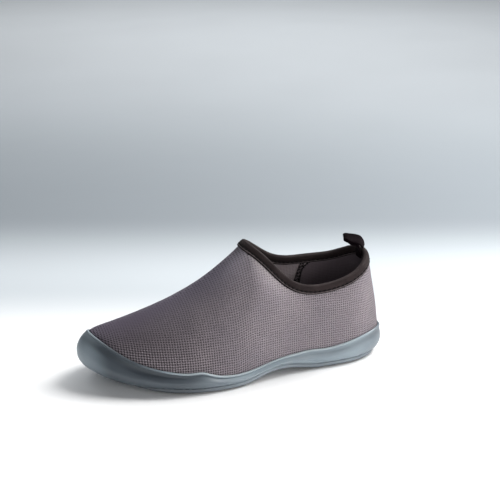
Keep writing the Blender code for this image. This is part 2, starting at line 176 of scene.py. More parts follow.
# Insole: inwards from its edge in mm, share of its thickness up
INSOLE_THICK = 3.5
INSOLE_PROFILE = {
    "underside": (0.4, 0.0),
    "side_low": (0.08, 0.12),
    "side": (0.0, 0.3),
    "side_high": (0.02, 0.6),
    "shoulder": (0.2, 0.8),
    "shoulder_top": (0.6, 0.95),
    "top": (1.2, 1.0),
}

# Collar binding
BINDING_SKIN = 1.3
BINDING_DROP = 6.2
BINDING_CROWN = 2.0
SLOT_SHARE = 0.5
THROAT_CLEAR = 0.45
THROAT_REACH = 18.0
# It darkens from the heel to the throat, and at the back of the inner side, where the darkening is painted
# shade
BAND_DARK_X = (50.0, 110.0)
BAND_FAR_X = (70.0, 100.0)
BAND_FAR_Y = (-25.0, -6.0)
BAND_FAR_DARK = 1.6

# Flap of the binding from its edge up: share of its drop, share of its skin outwards
FLAP_PROFILE = {
    "edge": (1.0, 0.0),
    "edge_face": (1.0, 0.3),
    "hem_low": (0.85, 0.8),
    "hem": (0.79, 1.0),
    "hem_high": (0.72, 0.85),
    "groove_low": (0.69, 0.55),
    "groove": (0.63, 0.45),
    "groove_high": (0.57, 0.55),
    "swell_low": (0.5, 0.95),
    "swell": (0.37, 1.12),
    "flank": (0.2, 1.15),
    "under_crown": (0.08, 1.05),
}

# Stitches of the binding
STITCH_LENGTH = 3.3
STITCH_SPACING = 4.2
STITCH_WIDTH = 1.4
STITCH_LIFT = 0.25
LOOK_AHEAD = 0.3
# Stitch from end to end: place as a share of half its length, share of its width, how far it sinks
STITCH_PROFILE = (
    (-1.0, 0.15, 0.75),
    (-0.88, 0.75, 0.4),
    (-0.45, 1.0, 0.02),
    (0.45, 1.0, 0.02),
    (0.88, 0.75, 0.4),
    (1.0, 0.15, 0.75),
)

# Upper
UPPER_WALL = 1.8
BASE_BELOW_RIM = 1.4
THROAT_X = 127.0
# Its cloth lies level round the heel and along the shoe, and runs smoothly over the ridge
WRAP_FROM_X = 60.0
WRAP_TO_X = 110.0
RIDGE_ROUND = 4.0
RIDGE_EASE = 20.0
# It puffs out below the binding, and lies still against the cup and the binding
COLLAR_END_X = (121.0, 137.0)
PUFF = 0.5
PUFF_DOWN = 12.0
PUFF_REACH = 5.0
STILL_UP = (0.5, 6.0)
STILL_DOWN = (4.0, 9.0)
# Its painted shade by place: the heel and its back, the toe, the ridge, the foot, the instep, and a painted
# highlight along the collar's outer front
TONE_X = (96.0, 236.0)
HEEL_TONE = 0.4
BACK_TONE = 0.3
BACK_X = (6.0, 26.0)
TOE_TONE = 0.88
RIDGE_TONE = 0.12
RIDGE_WIDE = 26.0
FOOT_TONE = 0.06
FOOT_HIGH = 14.0
INSTEP_TONE = 0.34
COOL_X = (114.0, 152.0)
COOL_WIDE = 21.0
# Painted highlight along the collar's outer front: strength, where along, how long, how far down and where
# aside
PALE = 1.0
PALE_X = 121.0
PALE_LONG = 22.0
PALE_WIDE = 22.0
PALE_ASIDE = (1.0, 17.0)
# How much its weave stands out there
PALE_SMOOTH = 0.5
FOOT_RELIEF = 0.7
FOOT_RELIEF_HIGH = 28.0
TOE_SMOOTH = 0.85
TOE_SMOOTH_REACH = 32.0

# Soft troughs (minus) and ridges (plus) of the upper, each a line over the cloth: side, x and height over
# the rim at both ends, how far it stands out, and half its width
CREASE_ENDS = (0.04, 0.96)
CREASE_COLUMNS = ("side", "from_x", "from_up", "to_x", "to_up", "out", "reach")
CREASES = {
    "instep_trough": (1, 131.0, 78.0, 150.0, 40.0, -0.35, 8.0),
    "instep_ridge": (1, 118.0, 76.0, 137.0, 34.0, 0.3, 8.0),
    "ball_trough": (1, 166.0, 8.0, 182.0, 34.0, -0.3, 7.0),
    "ball_ridge": (1, 178.0, 8.0, 194.0, 30.0, 0.25, 7.0),
    "quarter_trough": (1, 52.0, 14.0, 96.0, 38.0, -0.3, 9.0),
    "quarter_ridge": (1, 46.0, 28.0, 84.0, 46.0, 0.25, 9.0),
    "inner_ball_trough": (-1, 170.0, 8.0, 186.0, 34.0, -0.3, 7.0),
    "inner_quarter_trough": (-1, 56.0, 16.0, 98.0, 44.0, -0.3, 9.0),
}

# Lining: the heel's panel ends along an edge of height over the floor, x
PANEL_THICK = 0.5
PANEL_STEP = 0.5
PANEL_DOWN = (BINDING_DROP, BINDING_DROP + 2.0)
PANEL_UP = (0.0, 6.0)
PANEL_EDGE = {
    "foot": (10.0, 82.0),
    "low": (30.0, 75.5),
    "middle": (48.0, 69.8),
    "high": (59.2, 66.9),
    "turn": (66.0, 65.8),
    "curve": (70.3, 64.2),
    "top": (73.9, 60.8),
    "hidden": (78.0, 54.0),
}

# Seam tape inside the collar on the inner side, up from the cup: height over the floor, x
TAPE_ROUTE = {
    "foot": (14.0, 84.5),
    "middle": (60.0, 69.9),
    "high": (70.0, 66.6),
    "top": (78.0, 64.0),
}
TAPE_STEP = 1.0
TAPE_WIDTH = 4.6
TAPE_THICK = 0.45
# Section of the tape: shares of half its width and of its thickness
TAPE_PROFILE = (
    (-1.0, -0.6),
    (-1.0, 0.5),
    (-0.9, 1.0),
    (0.0, 1.05),
    (0.9, 1.0),
    (1.0, 0.5),
    (1.0, -0.6),
    (-1.0, -0.6),
)
RAIL_SHARE = 0.74
RAIL_STITCH = 2.9
RAIL_SPACING = 3.0
ZIGZAG_RISE = 3.0
TAPE_THREAD = 0.9
EDGE_CORD = 1.5

# Pull loop: its strap, and its middle line from the collar's back
LOOP_STRAP_WIDTH = 10.0
LOOP_STRAP_THICK = 1.5
LOOP_COLUMNS = ("forward", "aside", "up", "roll_deg", "swing_deg")
LOOP_ROUTE = {
    "outer_foot": (0.6, 0.0, 3.0, 0.0, 30.0),
    "outer_leg": (2.0, -0.4, 6.2, 10.0, 36.0),
    "crease_below": (4.8, -1.0, 9.0, 25.0, 40.0),
    "crease": (8.4, -2.2, 10.3, 29.0, 40.0),
    "crest": (12.0, -4.7, 10.5, 30.0, 26.0),
    "nose_top": (14.7, -6.9, 10.5, 30.0, 17.0),
    "nose": (15.6, -7.9, 9.4, 30.0, 16.0),
    "nose_under": (14.1, -7.5, 8.4, 30.0, 17.0),
    "under": (11.0, -5.2, 8.0, 30.0, 26.0),
    "under_crease": (5.8, -1.8, 6.4, 25.0, 28.0),
    "inner_leg": (5.4, -0.5, 3.2, 12.0, 10.0),
    "inner_edge": (5.7, 0.0, -0.8, 2.0, 0.0),
    "inner_foot": (4.8, 0.0, -6.0, 0.0, 0.0),
}
# The near corner of the loop's nose is rounded off from there on
NOSE_FROM = 9.5
NOSE_TRIM = 0.55
# Upper half of the strap's section: shares of half its width and half its thickness
STRAP_TOP = (
    (-1.0, 0.35),
    (-0.96, 0.8),
    (-0.86, 1.0),
    (-0.45, 0.92),
    (0.0, 0.96),
    (0.45, 0.92),
    (0.86, 1.0),
    (0.96, 0.8),
    (1.0, 0.35),
)

SOLE_COLUMNS = ("out_x", "out_y", "out_rim", "in_x", "in_y", "in_rim", "rim_inset", "tuck")
SOLE_SECTIONS = {
    "heel_back": (0.0, -2.2, 21.8, 0.0, -2.2, 21.8, 0.8, 4.6),
    "heel_corner": (7.0, 17.0, 23.8, 7.0, -21.4, 23.8, 1.2, 3.8),
    "heel_side": (30.0, 31.5, 21.8, 30.0, -35.0, 21.8, 2.4, 2.0),
    "heel_front": (62.0, 34.8, 17.0, 62.0, -34.8, 18.2, 2.8, 1.2),
    "waist": (97.0, 36.9, 16.3, 97.0, -31.4, 18.2, 3.0, 1.6),
    "instep": (118.0, 41.1, 13.7, 118.0, -32.2, 17.1, 3.0, 1.4),
    "throat": (127.0, 43.4, 12.3, 127.0, -33.2, 16.4, 3.0, 1.0),
    "joint": (152.0, 48.4, 11.4, 152.0, -38.6, 15.4, 3.0, 0.4),
    "ball": (178.0, 48.7, 15.6, 178.0, -45.4, 17.0, 3.2, 0.6),
    "toes": (206.0, 44.0, 20.0, 206.0, -49.0, 20.0, 3.8, 1.8),
    "toe_side": (232.0, 32.2, 27.0, 232.0, -46.8, 26.0, 5.0, 4.4),
    "toe_corner": (253.5, 15.0, 36.6, 255.0, -36.4, 35.6, 7.0, 7.0),
    "toe_tip": (268.0, -14.0, 42.2, 268.0, -14.0, 42.2, 8.6, 8.4),
}

LAST_COLUMNS = ("ridge_x", "ridge_y", "ridge_z", "out_collar", "in_collar", "flatness", "hollow", "lip")
LAST_SECTIONS = {
    "heel_back": (49.5, -2.2, 174.0, 89.4, 89.4, 1.5, 0.15, 1.3),
    "heel_corner": (51.5, -2.2, 170.0, 86.4, 88.4, 1.4, 0.5, 2.0),
    "heel_side": (57.0, -2.2, 158.0, 78.2, 81.9, 1.2, 0.9, 2.5),
    "heel_front": (72.0, -2.2, 147.0, 71.9, 81.8, 1.1, 0.9, 2.5),
    "waist": (99.0, -3.0, 134.0, 82.0, 88.4, 1.08, 0.7, 2.4),
    "instep": (117.4, -4.0, 116.6, 103.0, 103.0, 1.08, 0.6, 2.4),
    "throat": (125.2, -4.5, 108.3, 108.3, 108.3, 1.08, 0.6, 2.3),
    "joint": (152.0, -6.0, 85.6, 85.6, 85.6, 1.08, 0.5, 2.3),
    "ball": (178.0, -7.5, 69.2, 69.2, 69.2, 1.08, 0.4, 2.3),
    "toes": (206.0, -9.0, 57.2, 57.2, 57.2, 1.08, 0.9, 2.2),
    "toe_side": (231.0, -11.0, 48.9, 48.9, 48.9, 1.08, 0.9, 2.1),
    "toe_corner": (246.0, -12.5, 44.9, 44.9, 44.9, 1.1, 0.4, 1.6),
    "toe_tip": (253.5, -14.0, 42.6, 42.6, 42.6, 1.1, 0.0, 1.1),
}

# Looks. A stray is a noise's scale and how far it pushes the threads, a mottle is the scale of its clouds,
# a rough is the range of the roughness, and four numbers map one range to another.
NOISE_RANGE = (0.3, 0.7)
NOISE_MIDDLE = (0.5, 0.5, 0.5)
WAVE_RADIANS = 20.0
# Tones below zero map to a painted highlight, full at -0.5
LIGHT_MARK = (-0.5, 0.0, 1.0, 0.0)
# Mesh cloth: thread and shade waver at random and hole is the holes' colour; toe_thread and toe_hole are
# painted shade, pale a painted highlight, cool and toe_cool bluish painted shade
WEAVE = {
    "thread": (0.49, 0.43, 0.456),
    "shade": (0.42, 0.376, 0.414),
    "hole": (0.1, 0.085, 0.092),
    "toe_thread": (0.073, 0.058, 0.07),
    "toe_hole": (0.02, 0.016, 0.019),
    "pale": (0.62, 0.545, 0.56),
    "cool": (0.4, 0.375, 0.46),
    "toe_cool": (0.074, 0.06, 0.086),
}
WEAVE_PERIOD = 2.05
WEAVE_DEPTH = 0.3
WEAVE_STRAY = (0.06, 0.9)
WEAVE_MOTTLE = 34.0
WEAVE_FLECKS = (0.35, 0.75, 0.0, 0.22)
WEAVE_HOLES = (0.2, 0.7, 0.0, 0.9)
FLECK_DEPTH = 0.05
WEAVE_ROUGH = (0.78, 0.92)
LINING = {
    "light": (0.36, 0.306, 0.318),
    "dark": (0.3, 0.254, 0.265),
    "hole": (0.05, 0.04, 0.045),
    "panel": (0.13, 0.105, 0.117),
}
SOCK = {
    "light": (0.04, 0.035, 0.038),
    "dark": (0.028, 0.024, 0.026),
    "hole": (0.012, 0.01, 0.011),
}
LINING_PERIOD = 1.5
LINING_DEPTH = 0.12
LINING_STRAY = (0.08, 0.5)
LINING_MOTTLE = 70.0
LINING_HOLES = (0.2, 0.85, 0.0, 0.6)
LINING_ROUGH = (0.8, 0.95)
# Rubbers: light and dark clouds, the toe's painted shade colour, the painted highlight colour and the grain's
# depth in mm
CUP_RUBBER = {
    "light": (0.315, 0.376, 0.418),
    "dark": (0.275, 0.334, 0.376),
    "toe": (0.062, 0.075, 0.09),
    "painted_highlight": (0.4, 0.455, 0.48),
    "grain": 0.03,
}
TREAD_RUBBER = {
    "light": (0.265, 0.306, 0.34),
    "dark": (0.23, 0.268, 0.302),
    "toe": (0.08, 0.092, 0.106),
    "painted_highlight": (0.3, 0.34, 0.37),
    "grain": 0.04,
}
# Colour of the painted contact shadow on the sole's bottom edge
CONTACT_SHADE_COLOUR = (0.012, 0.012, 0.014)
RUBBER_MOTTLE = 45.0
RUBBER_PITS = (0.45, 0.8, 0.0, 0.25)
# Tones from one to two map to the painted contact shadow
CONTACT_SHADE_RANGE = (1.0, 2.0, 0.0, 0.9)
PIT_DEPTH = 2.0
RUBBER_ROUGH = (0.42, 0.52)
# Knitted tapes: light and dark tone, width of a rib, depth of its relief, gloss
TAPES = {
    "binding_knit": ((0.032, 0.0222, 0.0222), (0.021, 0.0145, 0.015), 0.8, 0.12, 0.1),
    "binding_hem": ((0.16, 0.13, 0.135), (0.11, 0.09, 0.094), 0.8, 0.1, 0.1),
    # Near-black edge of the binding: partly its own dark edge, partly painted shadow where it meets the upper
    "binding_edge": ((0.01, 0.008, 0.008), (0.006, 0.005, 0.005), 0.8, 0.1, 0.1),
    "webbing": ((0.008, 0.004, 0.006), (0.004, 0.002, 0.003), 1.1, 0.25, 0.03),
    "tape_knit": ((0.13, 0.11, 0.115), (0.09, 0.075, 0.08), 0.9, 0.12, 0.1),
}
RIB_STRAY = (0.1, 0.3)
RIB_MOTTLE = 120.0
RIB_SHADE = (0.0, 0.5, 0.45, 0.0)
RIB_ROUGH = (0.6, 0.8)
RIB_DARK = 0.25
RIB_BLACK = (0.004, 0.003, 0.003)
RIB_SHEEN = 0.3
TWILL_PERIOD = 0.8
TWILL_SHARE = 0.5
THREAD = ((0.006, 0.005, 0.005), (0.003, 0.0025, 0.0025))
THREAD_TWIST = 0.35
THREAD_DEPTH = 0.05

# Floor: its size and the tones, in metres behind the shoe where each begins and ends to change, and to what
FLOOR_SIZE = 12.0
FLOOR_NEAR = (0.97, 0.975, 0.98)
FLOOR_FADES = (
    (0.02, 0.18, (0.52, 0.56, 0.59)),
    (0.2, 0.42, (0.228, 0.252, 0.274)),
    (0.45, 2.2, (0.91, 0.96, 1.0)),
)
FLOOR_ROUGH = (0.55, 0.65)
FLOOR_GRAIN = 0.05

# Camera fitted to the photo: directions in degrees from the outer side, distances in mm
CAMERA_TURN = 18.41
CAMERA_RISE = 22.67
CAMERA_AWAY = 985.6
CAMERA_YAW = 0.8
CAMERA_PITCH = -3.43
CAMERA_FOCUS = 1156.0
CAMERA_SHIFT = 2.2
CAMERA_CENTRE = (134.0, 0.0, 40.0)
PHOTO_WIDTH = 500.0
SENSOR = 36.0

# Lights and where they aim: to the photo's right, up and towards the camera in metres; size, power, colour
LIGHT_AIM = (0.0, 0.03, 0.0)
LIGHTS = {
    "key": ((0.66, 1.0, -0.5), LIGHT_AIM, (0.7, 0.7), 20.0, (1.0, 0.995, 0.985)),
    "side": ((1.09, 0.66, -0.26), LIGHT_AIM, (0.7, 0.7), 9.5, (1.0, 0.99, 0.98)),
    "front": ((0.89, 0.34, 0.89), LIGHT_AIM, (0.7, 0.7), 4.5, (1.0, 0.99, 0.985)),
    "fill": ((0.0, 0.5, 1.3), LIGHT_AIM, (0.8, 0.8), 3.5, (0.98, 0.99, 1.0)),
    "left": ((-1.1, 0.7, 0.2), LIGHT_AIM, (0.6, 0.6), 1.2, (0.88, 0.94, 1.0)),
    "rim": ((-0.7, 0.8, -0.8), LIGHT_AIM, (0.8, 0.8), 3.4, (0.97, 0.985, 1.0)),
    "behind": ((0.2, 1.6, -1.8), (0.1, 0.0, -1.7), (2.0, 1.4), 22.5, (0.98, 0.99, 1.0)),
}
WORLD_TONE = (0.86, 0.9, 0.94, 1.0)
WORLD_STRENGTH = 0.03


def eased(value, start, end):
    """0 before start, 1 after end and a smooth step between them."""
    share = np.clip((np.asarray(value, float) - start) / (end - start), 0, 1)
    return 3 * share**2 - 2 * share**3


def bell(distance, reach):
    """1 at no distance, and next to nothing two reaches away."""
    return np.exp(-((distance / reach) ** 2))


def unit(vectors):
    return vectors / np.linalg.norm(vectors, axis=-1)[..., None]


def closed(grid):
    """A grid with its first column repeated at its end."""
    return np.concatenate([grid, grid[:, :1]], axis=1)


def lengths(points):
    """Distance along a path to each of its points."""
    return np.append(0, np.cumsum(np.linalg.norm(np.diff(points, axis=0), axis=1)))


def quads(index):
    """Corners of each cell in a grid of numbered points."""
    cells = np.stack([index[:-1, :-1], index[:-1, 1:], index[1:, 1:], index[1:, :-1]], axis=-1)
    return cells.reshape(-1, 4).tolist()


def between(near, far, columns):
    """Points in even steps from each point to the one across from it."""
    return near[:, None] + (far - near)[:, None] * np.linspace(0, 1, columns + 1)[None, :, None]


def floor_height(x):
    """Height of the sole's underside: flat at heel and ball, with arch, toe spring and heel bevel."""
    x = np.asarray(x, float)
    spring = TOE_SPRING * (np.clip(x - SPRING_FROM_X, 0, None) / (LENGTH - SPRING_FROM_X)) ** 2
    arch = ARCH_LIFT * np.clip(1 - ((x - ARCH_X) / ARCH_REACH) ** 2, 0, None) ** 2
    bevel = HEEL_BEVEL * (np.clip(HEEL_BEVEL_X - x, 0, None) / HEEL_BEVEL_X) ** 2
    return spring + arch + bevel


def outsole_thickness(x):
    return OUTSOLE_THICK + (OUTSOLE_TOE_THICK - OUTSOLE_THICK) * eased(x, *THINNING_X)


def outsole_top(x):
    return floor_height(x) + outsole_thickness(x)


def covered(x):
    """How much the cup's foot hides the outsole's edge at the toe and at the heel, from 0 to 1."""
    return eased(x, *COVER_TOE_X), 1 - eased(x, *COVER_HEEL_X)


def sole_tone(points):
    """How much painted shade the rubber has along the sole, from 0 to 1."""
    x = points[..., 0]
    toe = eased(x, *SOLE_DARK_X) * (1 - (1 - SOLE_TIP_TONE) * eased(x, *SOLE_TIP_X))
    back = SOLE_HEEL_TONE * (1 - eased(x, *SOLE_HEEL_X)) + SOLE_BACK_TONE * (1 - eased(x, *SOLE_BACK_X))
    return SOLE_TOE_TONE * toe + back


def spline(knots, values, at, period=None):
    """Smooth curve through values at knots, closed over a period or with straight ends."""
    knots, values, at = np.asarray(knots), np.asarray(values, float), np.asarray(at)
    count = len(knots)
    if period:
        at = at % period
    step = np.diff(np.append(knots, knots[0] + period if period else knots[-1] + 1))
    slope = (np.roll(values, -1) - values) / step
    matrix = np.eye(count)
    right = np.zeros(count)
    for k in range(count) if period else range(1, count - 1):
        before = (k - 1) % count
        matrix[k, before] = step[before]
        matrix[k, k] = 2 * (step[before] + step[k])
        matrix[k, (k + 1) % count] = step[k]
        right[k] = 6 * (slope[k] - slope[before])
    bend = np.linalg.solve(matrix, right)
    k = np.clip(np.searchsorted(knots, at, side="right") - 1, 0, count - (1 if period else 2))
    after = (k + 1) % count
    u = at - knots[k]
    linear = slope[k] - step[k] * (2 * bend[k] + bend[after]) / 6
    return values[k] + u * linear + u**2 * bend[k] / 2 + u**3 * (bend[after] - bend[k]) / (6 * step[k])


class Ring:
    """The section tables read at steps round the shoe: heel, outer side, toe, inner side, heel."""

    def __init__(self, side_places):
        outer = np.hypot(np.diff(self.column("out_x")), np.diff(self.column("out_y")))
        inner = np.hypot(np.diff(self.column("in_x")), np.diff(self.column("in_y")))
        along = np.append(0, np.cumsum(outer + inner))
        self.knots = along / along[-1]
        self.side = np.asarray(side_places)
        self.count = len(self.side) - 1
        self.around = 2 * self.count
        self.place = np.concatenate([self.side, 2 - self.side[-2:0:-1]])
        self.x, self.y = self.read("out_x", "in_x"), self.read("out_y", "in_y")
        turn_x, turn_y = (self.slope(*names) for names in (("out_x", "in_x"), ("out_y", "in_y")))
        self.normal = np.stack([-turn_y, turn_x], axis=1) / np.hypot(turn_x, turn_y)[:, None]
        waves = sum(high * bell(self.x - x, reach) for x, high, reach in RIM_WAVES.values())
        self.rim = self.read("out_rim", "in_rim") + waves
        self.rim_inset = self.read("rim_inset")
        self.tuck = self.read("tuck")
        self.hollow = np.clip(self.read("hollow"), 0, 1)
        self.lip = self.read("lip")
        self.ridge = np.stack([self.read(name) for name in ("ridge_x", "ridge_y", "ridge_z")], axis=1)
        self.flatness = self.read("flatness")
        self.collar = self.read_collar()
        self.partner = (-np.arange(self.around)) % self.around

    def column(self, name):
        if name in SOLE_COLUMNS:
            return [row[SOLE_COLUMNS.index(name)] for row in SOLE_SECTIONS.values()]
        return [row[LAST_COLUMNS.index(name)] for row in LAST_SECTIONS.values()]

    def read(self, outer, inner=None, shift=0.0):
        there, back = self.column(outer), self.column(inner or outer)
        knots = np.concatenate([self.knots, 2 - self.knots[-2:0:-1]])
        return spline(knots, there + back[-2:0:-1], self.place + shift, period=2.0)

    def read_collar(self):
        """Height of the collar's edge from throat to throat round the heel, and of the ridge in front."""
        outer, inner = self.column("out_collar"), self.column("in_collar")
        last = list(LAST_SECTIONS).index("throat")
        knots = np.concatenate([-self.knots[last:0:-1], self.knots[: last + 1]])
        signed = np.where(self.place > 1, self.place - 2, self.place)
        collar = spline(knots, inner[last:0:-1] + outer[: last + 1], signed)
        return np.where(np.abs(signed) < knots[-1] - TINY, collar, self.ridge[:, 2])

    def slope(self, outer, inner):
        return self.read(outer, inner, TINY) - self.read(outer, inner, -TINY)

    def inset(self, distance):
        """Plan points that far inside the widest outline."""
        return np.stack([self.x, self.y], axis=1) - np.asarray(distance).reshape(-1, 1) * self.normal

    def over(self, surface, distance, height):
        """Points inset from the outline, at a height over a surface of the sole."""
        plan = self.inset(distance)
        return np.column_stack([plan, surface(plan[:, 0]) + height])

    def at_height(self, distance, z):
        return np.column_stack([self.inset(distance), z])

    def girth(self):
        """Distance round the widest outline from the back of the heel, on either side."""
        there = lengths(np.column_stack([self.x, self.y])[: self.count + 1])
        return np.concatenate([there, there[-2:0:-1]])


def crowded(steps):
    """Shares from 0 to 1 that are closer together at both ends."""
    share = np.linspace(0, 1, steps + 1)
    return END_STEP * share + (1 - END_STEP) * eased(share, 0, 1)


def last_ring():
    """Steps that crowd towards the throat, where the collar turns across the shoe."""
    throat = Ring([0.0, 1.0]).knots[list(SOLE_SECTIONS).index("throat")]
    back = throat * (1 - (1 - crowded(BACK_STEPS)[:-1]) ** THROAT_CROWDING)
    front = throat + (1 - throat) * crowded(FRONT_STEPS) ** THROAT_CROWDING
    return Ring(np.append(back, front))


def smooth_path(points, steps):
    """Catmull-Rom curve through the points, with that many steps between each two."""
    points = np.asarray(points, float)
    ends = np.vstack([2 * points[0] - points[1], points, 2 * points[-1] - points[-2]])
    made = []
    for a, b, c, d in zip(ends, ends[1:], ends[2:], ends[3:]):
        for u in np.arange(steps) / steps:
            curve = 2 * b + (c - a) * u + (2 * a - 5 * b + 4 * c - d) * u**2 + (3 * b - a - 3 * c + d) * u**3
            made.append(curve / 2)
    return np.array(made + [points[-1]])


class Piece:
    """Collects grids of points with flat coordinates in mm, a number for their finish, and marks."""

    def __init__(self):
        self.points, self.flat, self.faces, self.finish = [], [], [], []
        self.marks = {name: [] for name in MARKS}
        self.count = 0

    def grid(self, points, flat, finish=0, **marks):
        rows, columns = points.shape[:2]
        faces = quads(self.count + np.arange(rows * columns).reshape(rows, columns))
        self.points.append(points.reshape(-1, 3))
        self.flat.append(flat.reshape(-1, 2))
        self.faces.extend(faces)
        self.finish.extend([finish] * len(faces))
        for name, values in self.marks.items():
            values.append(np.broadcast_to(marks.get(name, 0.0), (rows, columns)).ravel())
        self.count += rows * columns

    def tube(self, ring, rows, tone):
        """Rows round the sole, laid flat along its girth and up."""
        girth = np.broadcast_to(ring.girth(), rows.shape[:2])
        self.grid(closed(rows), closed(np.stack([girth, rows[..., 2]], axis=-1)), tone=closed(tone))

    def ladder(self, ring, row, columns=CLOSING_COLUMNS):
        """Closes a ring with faces from side to side, laid flat in plan."""
        points = between(row[: ring.count + 1], row[ring.partner[: ring.count + 1]], columns)
        self.grid(points, points[..., :2])

    def build(self, name, finishes, stands_for=None, merge=True):
        mesh = bpy.data.meshes.new(name)
        points = (np.concatenate(self.points) - (LENGTH / 2, 0, 0)) * MM
        flat = np.concatenate(self.flat)
        mesh.from_pydata(points.tolist(), [], self.faces)
        layer = mesh.uv_layers.new(name="cloth")
        layer.data.foreach_set("uv", flat[np.array(self.faces).ravel()].ravel())
        mesh.polygons.foreach_set("material_index", self.finish)
        for mark, values in self.marks.items():
            mesh.attributes.new(mark, "FLOAT", "POINT").data.foreach_set("value", np.concatenate(values))
        for finish in finishes:
            mesh.materials.append(finish)
        if merge:
            form = bmesh.new()
            form.from_mesh(mesh)
            bmesh.ops.remove_doubles(form, verts=form.verts, dist=MERGE * MM)
            bmesh.ops.recalc_face_normals(form, faces=form.faces)
            form.to_mesh(mesh)
            form.free()
        mesh.shade_smooth()
        mesh.set_sharp_from_angle(angle=math.radians(SHARP_DEG))
        made = bpy.data.objects.new(name, mesh)
        bpy.context.scene.collection.objects.link(made)
        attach(made, "root")
        if stands_for:
            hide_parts(stands_for)
        return made


class Look:
    """A procedural finish: a Principled shader and the nodes that feed it."""

    def __init__(self, name, **sockets):
        self.material = bpy.data.materials.new(name)
        self.material.use_nodes = True
        self.tree = self.material.node_tree
        self.wear(**sockets)

    def wear(self, **sockets):
        shader = self.tree.nodes["Principled BSDF"]
        for socket, value in sockets.items():
            self.put(shader.inputs[socket.replace("_", " ")], value)
        return self.material

    def put(self, socket, value):
        if isinstance(value, bpy.types.NodeSocket):
            self.tree.links.new(value, socket)
        else:
            socket.default_value = (*value, 1.0) if socket.type == "RGBA" else value

    def add(self, kind, *inputs, output=0, **settings):
        node = self.tree.nodes.new(kind)
        named = {key: settings.pop(key) for key in list(settings) if key[0].isupper()}
        for key, value in settings.items():
            setattr(node, key, value)
        for k, value in enumerate(inputs):
            self.put(node.inputs[k], value)
        for key, value in named.items():
            self.put(node.inputs[key.replace("_", " ")], value)
        return node.outputs[output]

    def maths(self, operation, *inputs):
        return self.add("ShaderNodeMath", *inputs, operation=operation)

    def place(self):
        return self.add("ShaderNodeTexCoord", output="Object")

    def cloth(self, scale, reach):
        """The flat coordinates, pushed about a little by noise so that no thread is quite straight."""
        flat = self.add("ShaderNodeUVMap", uv_map="cloth")
        noise = self.add("ShaderNodeTexNoise", Vector=flat, Scale=scale, Detail=1.0, output="Color")
        centred = self.add("ShaderNodeVectorMath", noise, NOISE_MIDDLE, operation="SUBTRACT")
        pushed = self.add("ShaderNodeVectorMath", centred, operation="SCALE", Scale=reach)
        return self.add("ShaderNodeVectorMath", flat, pushed, operation="ADD")

    def mark(self, name):
        return self.add("ShaderNodeAttribute", attribute_name=name, output="Fac")

    def noise(self, vector, scale, detail=2.0, roughness=0.5):
        return self.add("ShaderNodeTexNoise", Vector=vector, Scale=scale, Detail=detail, Roughness=roughness)

    def fit(self, value, low, high, to_low, to_high):
        return self.add("ShaderNodeMapRange", value, low, high, to_low, to_high)

    def spread(self, noise, to_low=0.0, to_high=1.0):
        """The range where most of a noise lies, mapped to another."""
        return self.fit(noise, *NOISE_RANGE, to_low, to_high)

    def mix(self, share, one, other):
        node = self.tree.nodes.new("ShaderNodeMix")
        node.data_type = "RGBA"
        self.put(node.inputs["Factor"], share)
        for socket, value in zip((s for s in node.inputs if s.type == "RGBA"), (one, other)):
            self.put(socket, value)
        return next(s for s in node.outputs if s.type == "RGBA")

    def bands(self, vector, period, along):
        """Threads that far apart, 0 between two of them and 1 on top of one."""
        scale = 2 * math.pi / WAVE_RADIANS / period
        return self.add("ShaderNodeTexWave", Vector=vector, Scale=scale, bands_direction=along, output="Fac")

    def mesh(self, cloth, period):
        """Threads both ways: the knots where they cross, the holes between them, and their height."""
        across, along = self.bands(cloth, period, "X"), self.bands(cloth, period, "Y")
        holes = self.maths("MULTIPLY", *(self.maths("SUBTRACT", 1.0, threads) for threads in (across, along)))
        height = self.maths("SUBTRACT", self.maths("MAXIMUM", across, along), holes)
        return self.maths("MULTIPLY", across, along), holes, height

    def mottled(self, scale, light, dark):
        """Soft clouds of that scale, and a tone that wavers with them."""
        mottle = self.noise(self.place(), scale, detail=3.0)
        return mottle, self.mix(self.spread(mottle), light, dark)

    def done(self, tone, normal, mottle, rough):
        return self.wear(Base_Color=tone, Normal=normal, Roughness=self.spread(mottle, *rough))

    def bump(self, height, distance, strength=1.0, under=None):
        node = self.tree.nodes.new("ShaderNodeBump")
        self.put(node.inputs["Height"], height)
        node.inputs["Distance"].default_value = distance * MM
        node.inputs["Strength"].default_value = strength
        if under:
            self.tree.links.new(under, node.inputs["Normal"])
        return node.outputs["Normal"]


def weave_look(name, thread, shade, hole, toe_thread, toe_hole, pale, cool, toe_cool):
    """Mesh cloth: a grid of raised threads round small dark holes, with painted shade where the piece's tone
    is high and a painted highlight where it is below zero.
    """
    look = Look(name, Specular_IOR_Level=0.25, Sheen_Weight=0.05, Sheen_Roughness=0.4)
    knots, holes, height = look.mesh(look.cloth(*WEAVE_STRAY), WEAVE_PERIOD)
    fleck = look.noise(look.place(), scale=900.0)
    dark, relief, bluish = (look.mark(mark) for mark in MARKS)
    mottle, tone = look.mottled(WEAVE_MOTTLE, thread, shade)
    # Bluish painted shade where the cool mark is high
    tone = look.mix(bluish, tone, cool)
    tone = look.mix(look.fit(fleck, *WEAVE_FLECKS), tone, hole)
    # Painted highlight where the tone is below zero
    tone = look.mix(look.fit(dark, *LIGHT_MARK), tone, pale)
    # Painted shade towards the toe where the tone is high
    tone = look.mix(dark, tone, look.mix(bluish, toe_thread, toe_cool))
    tone = look.mix(look.maths("MULTIPLY", knots, look.maths("SUBTRACT", relief, 1.0)), tone, thread)
    deep = look.maths("MULTIPLY", look.fit(holes, *WEAVE_HOLES), relief)
    tone = look.mix(deep, tone, look.mix(dark, hole, toe_hole))
    normal = look.bump(look.maths("MULTIPLY", height, relief), WEAVE_DEPTH, strength=0.9)
    normal = look.bump(fleck, FLECK_DEPTH, strength=0.5, under=normal)
    return look.done(tone, normal, mottle, WEAVE_ROUGH)


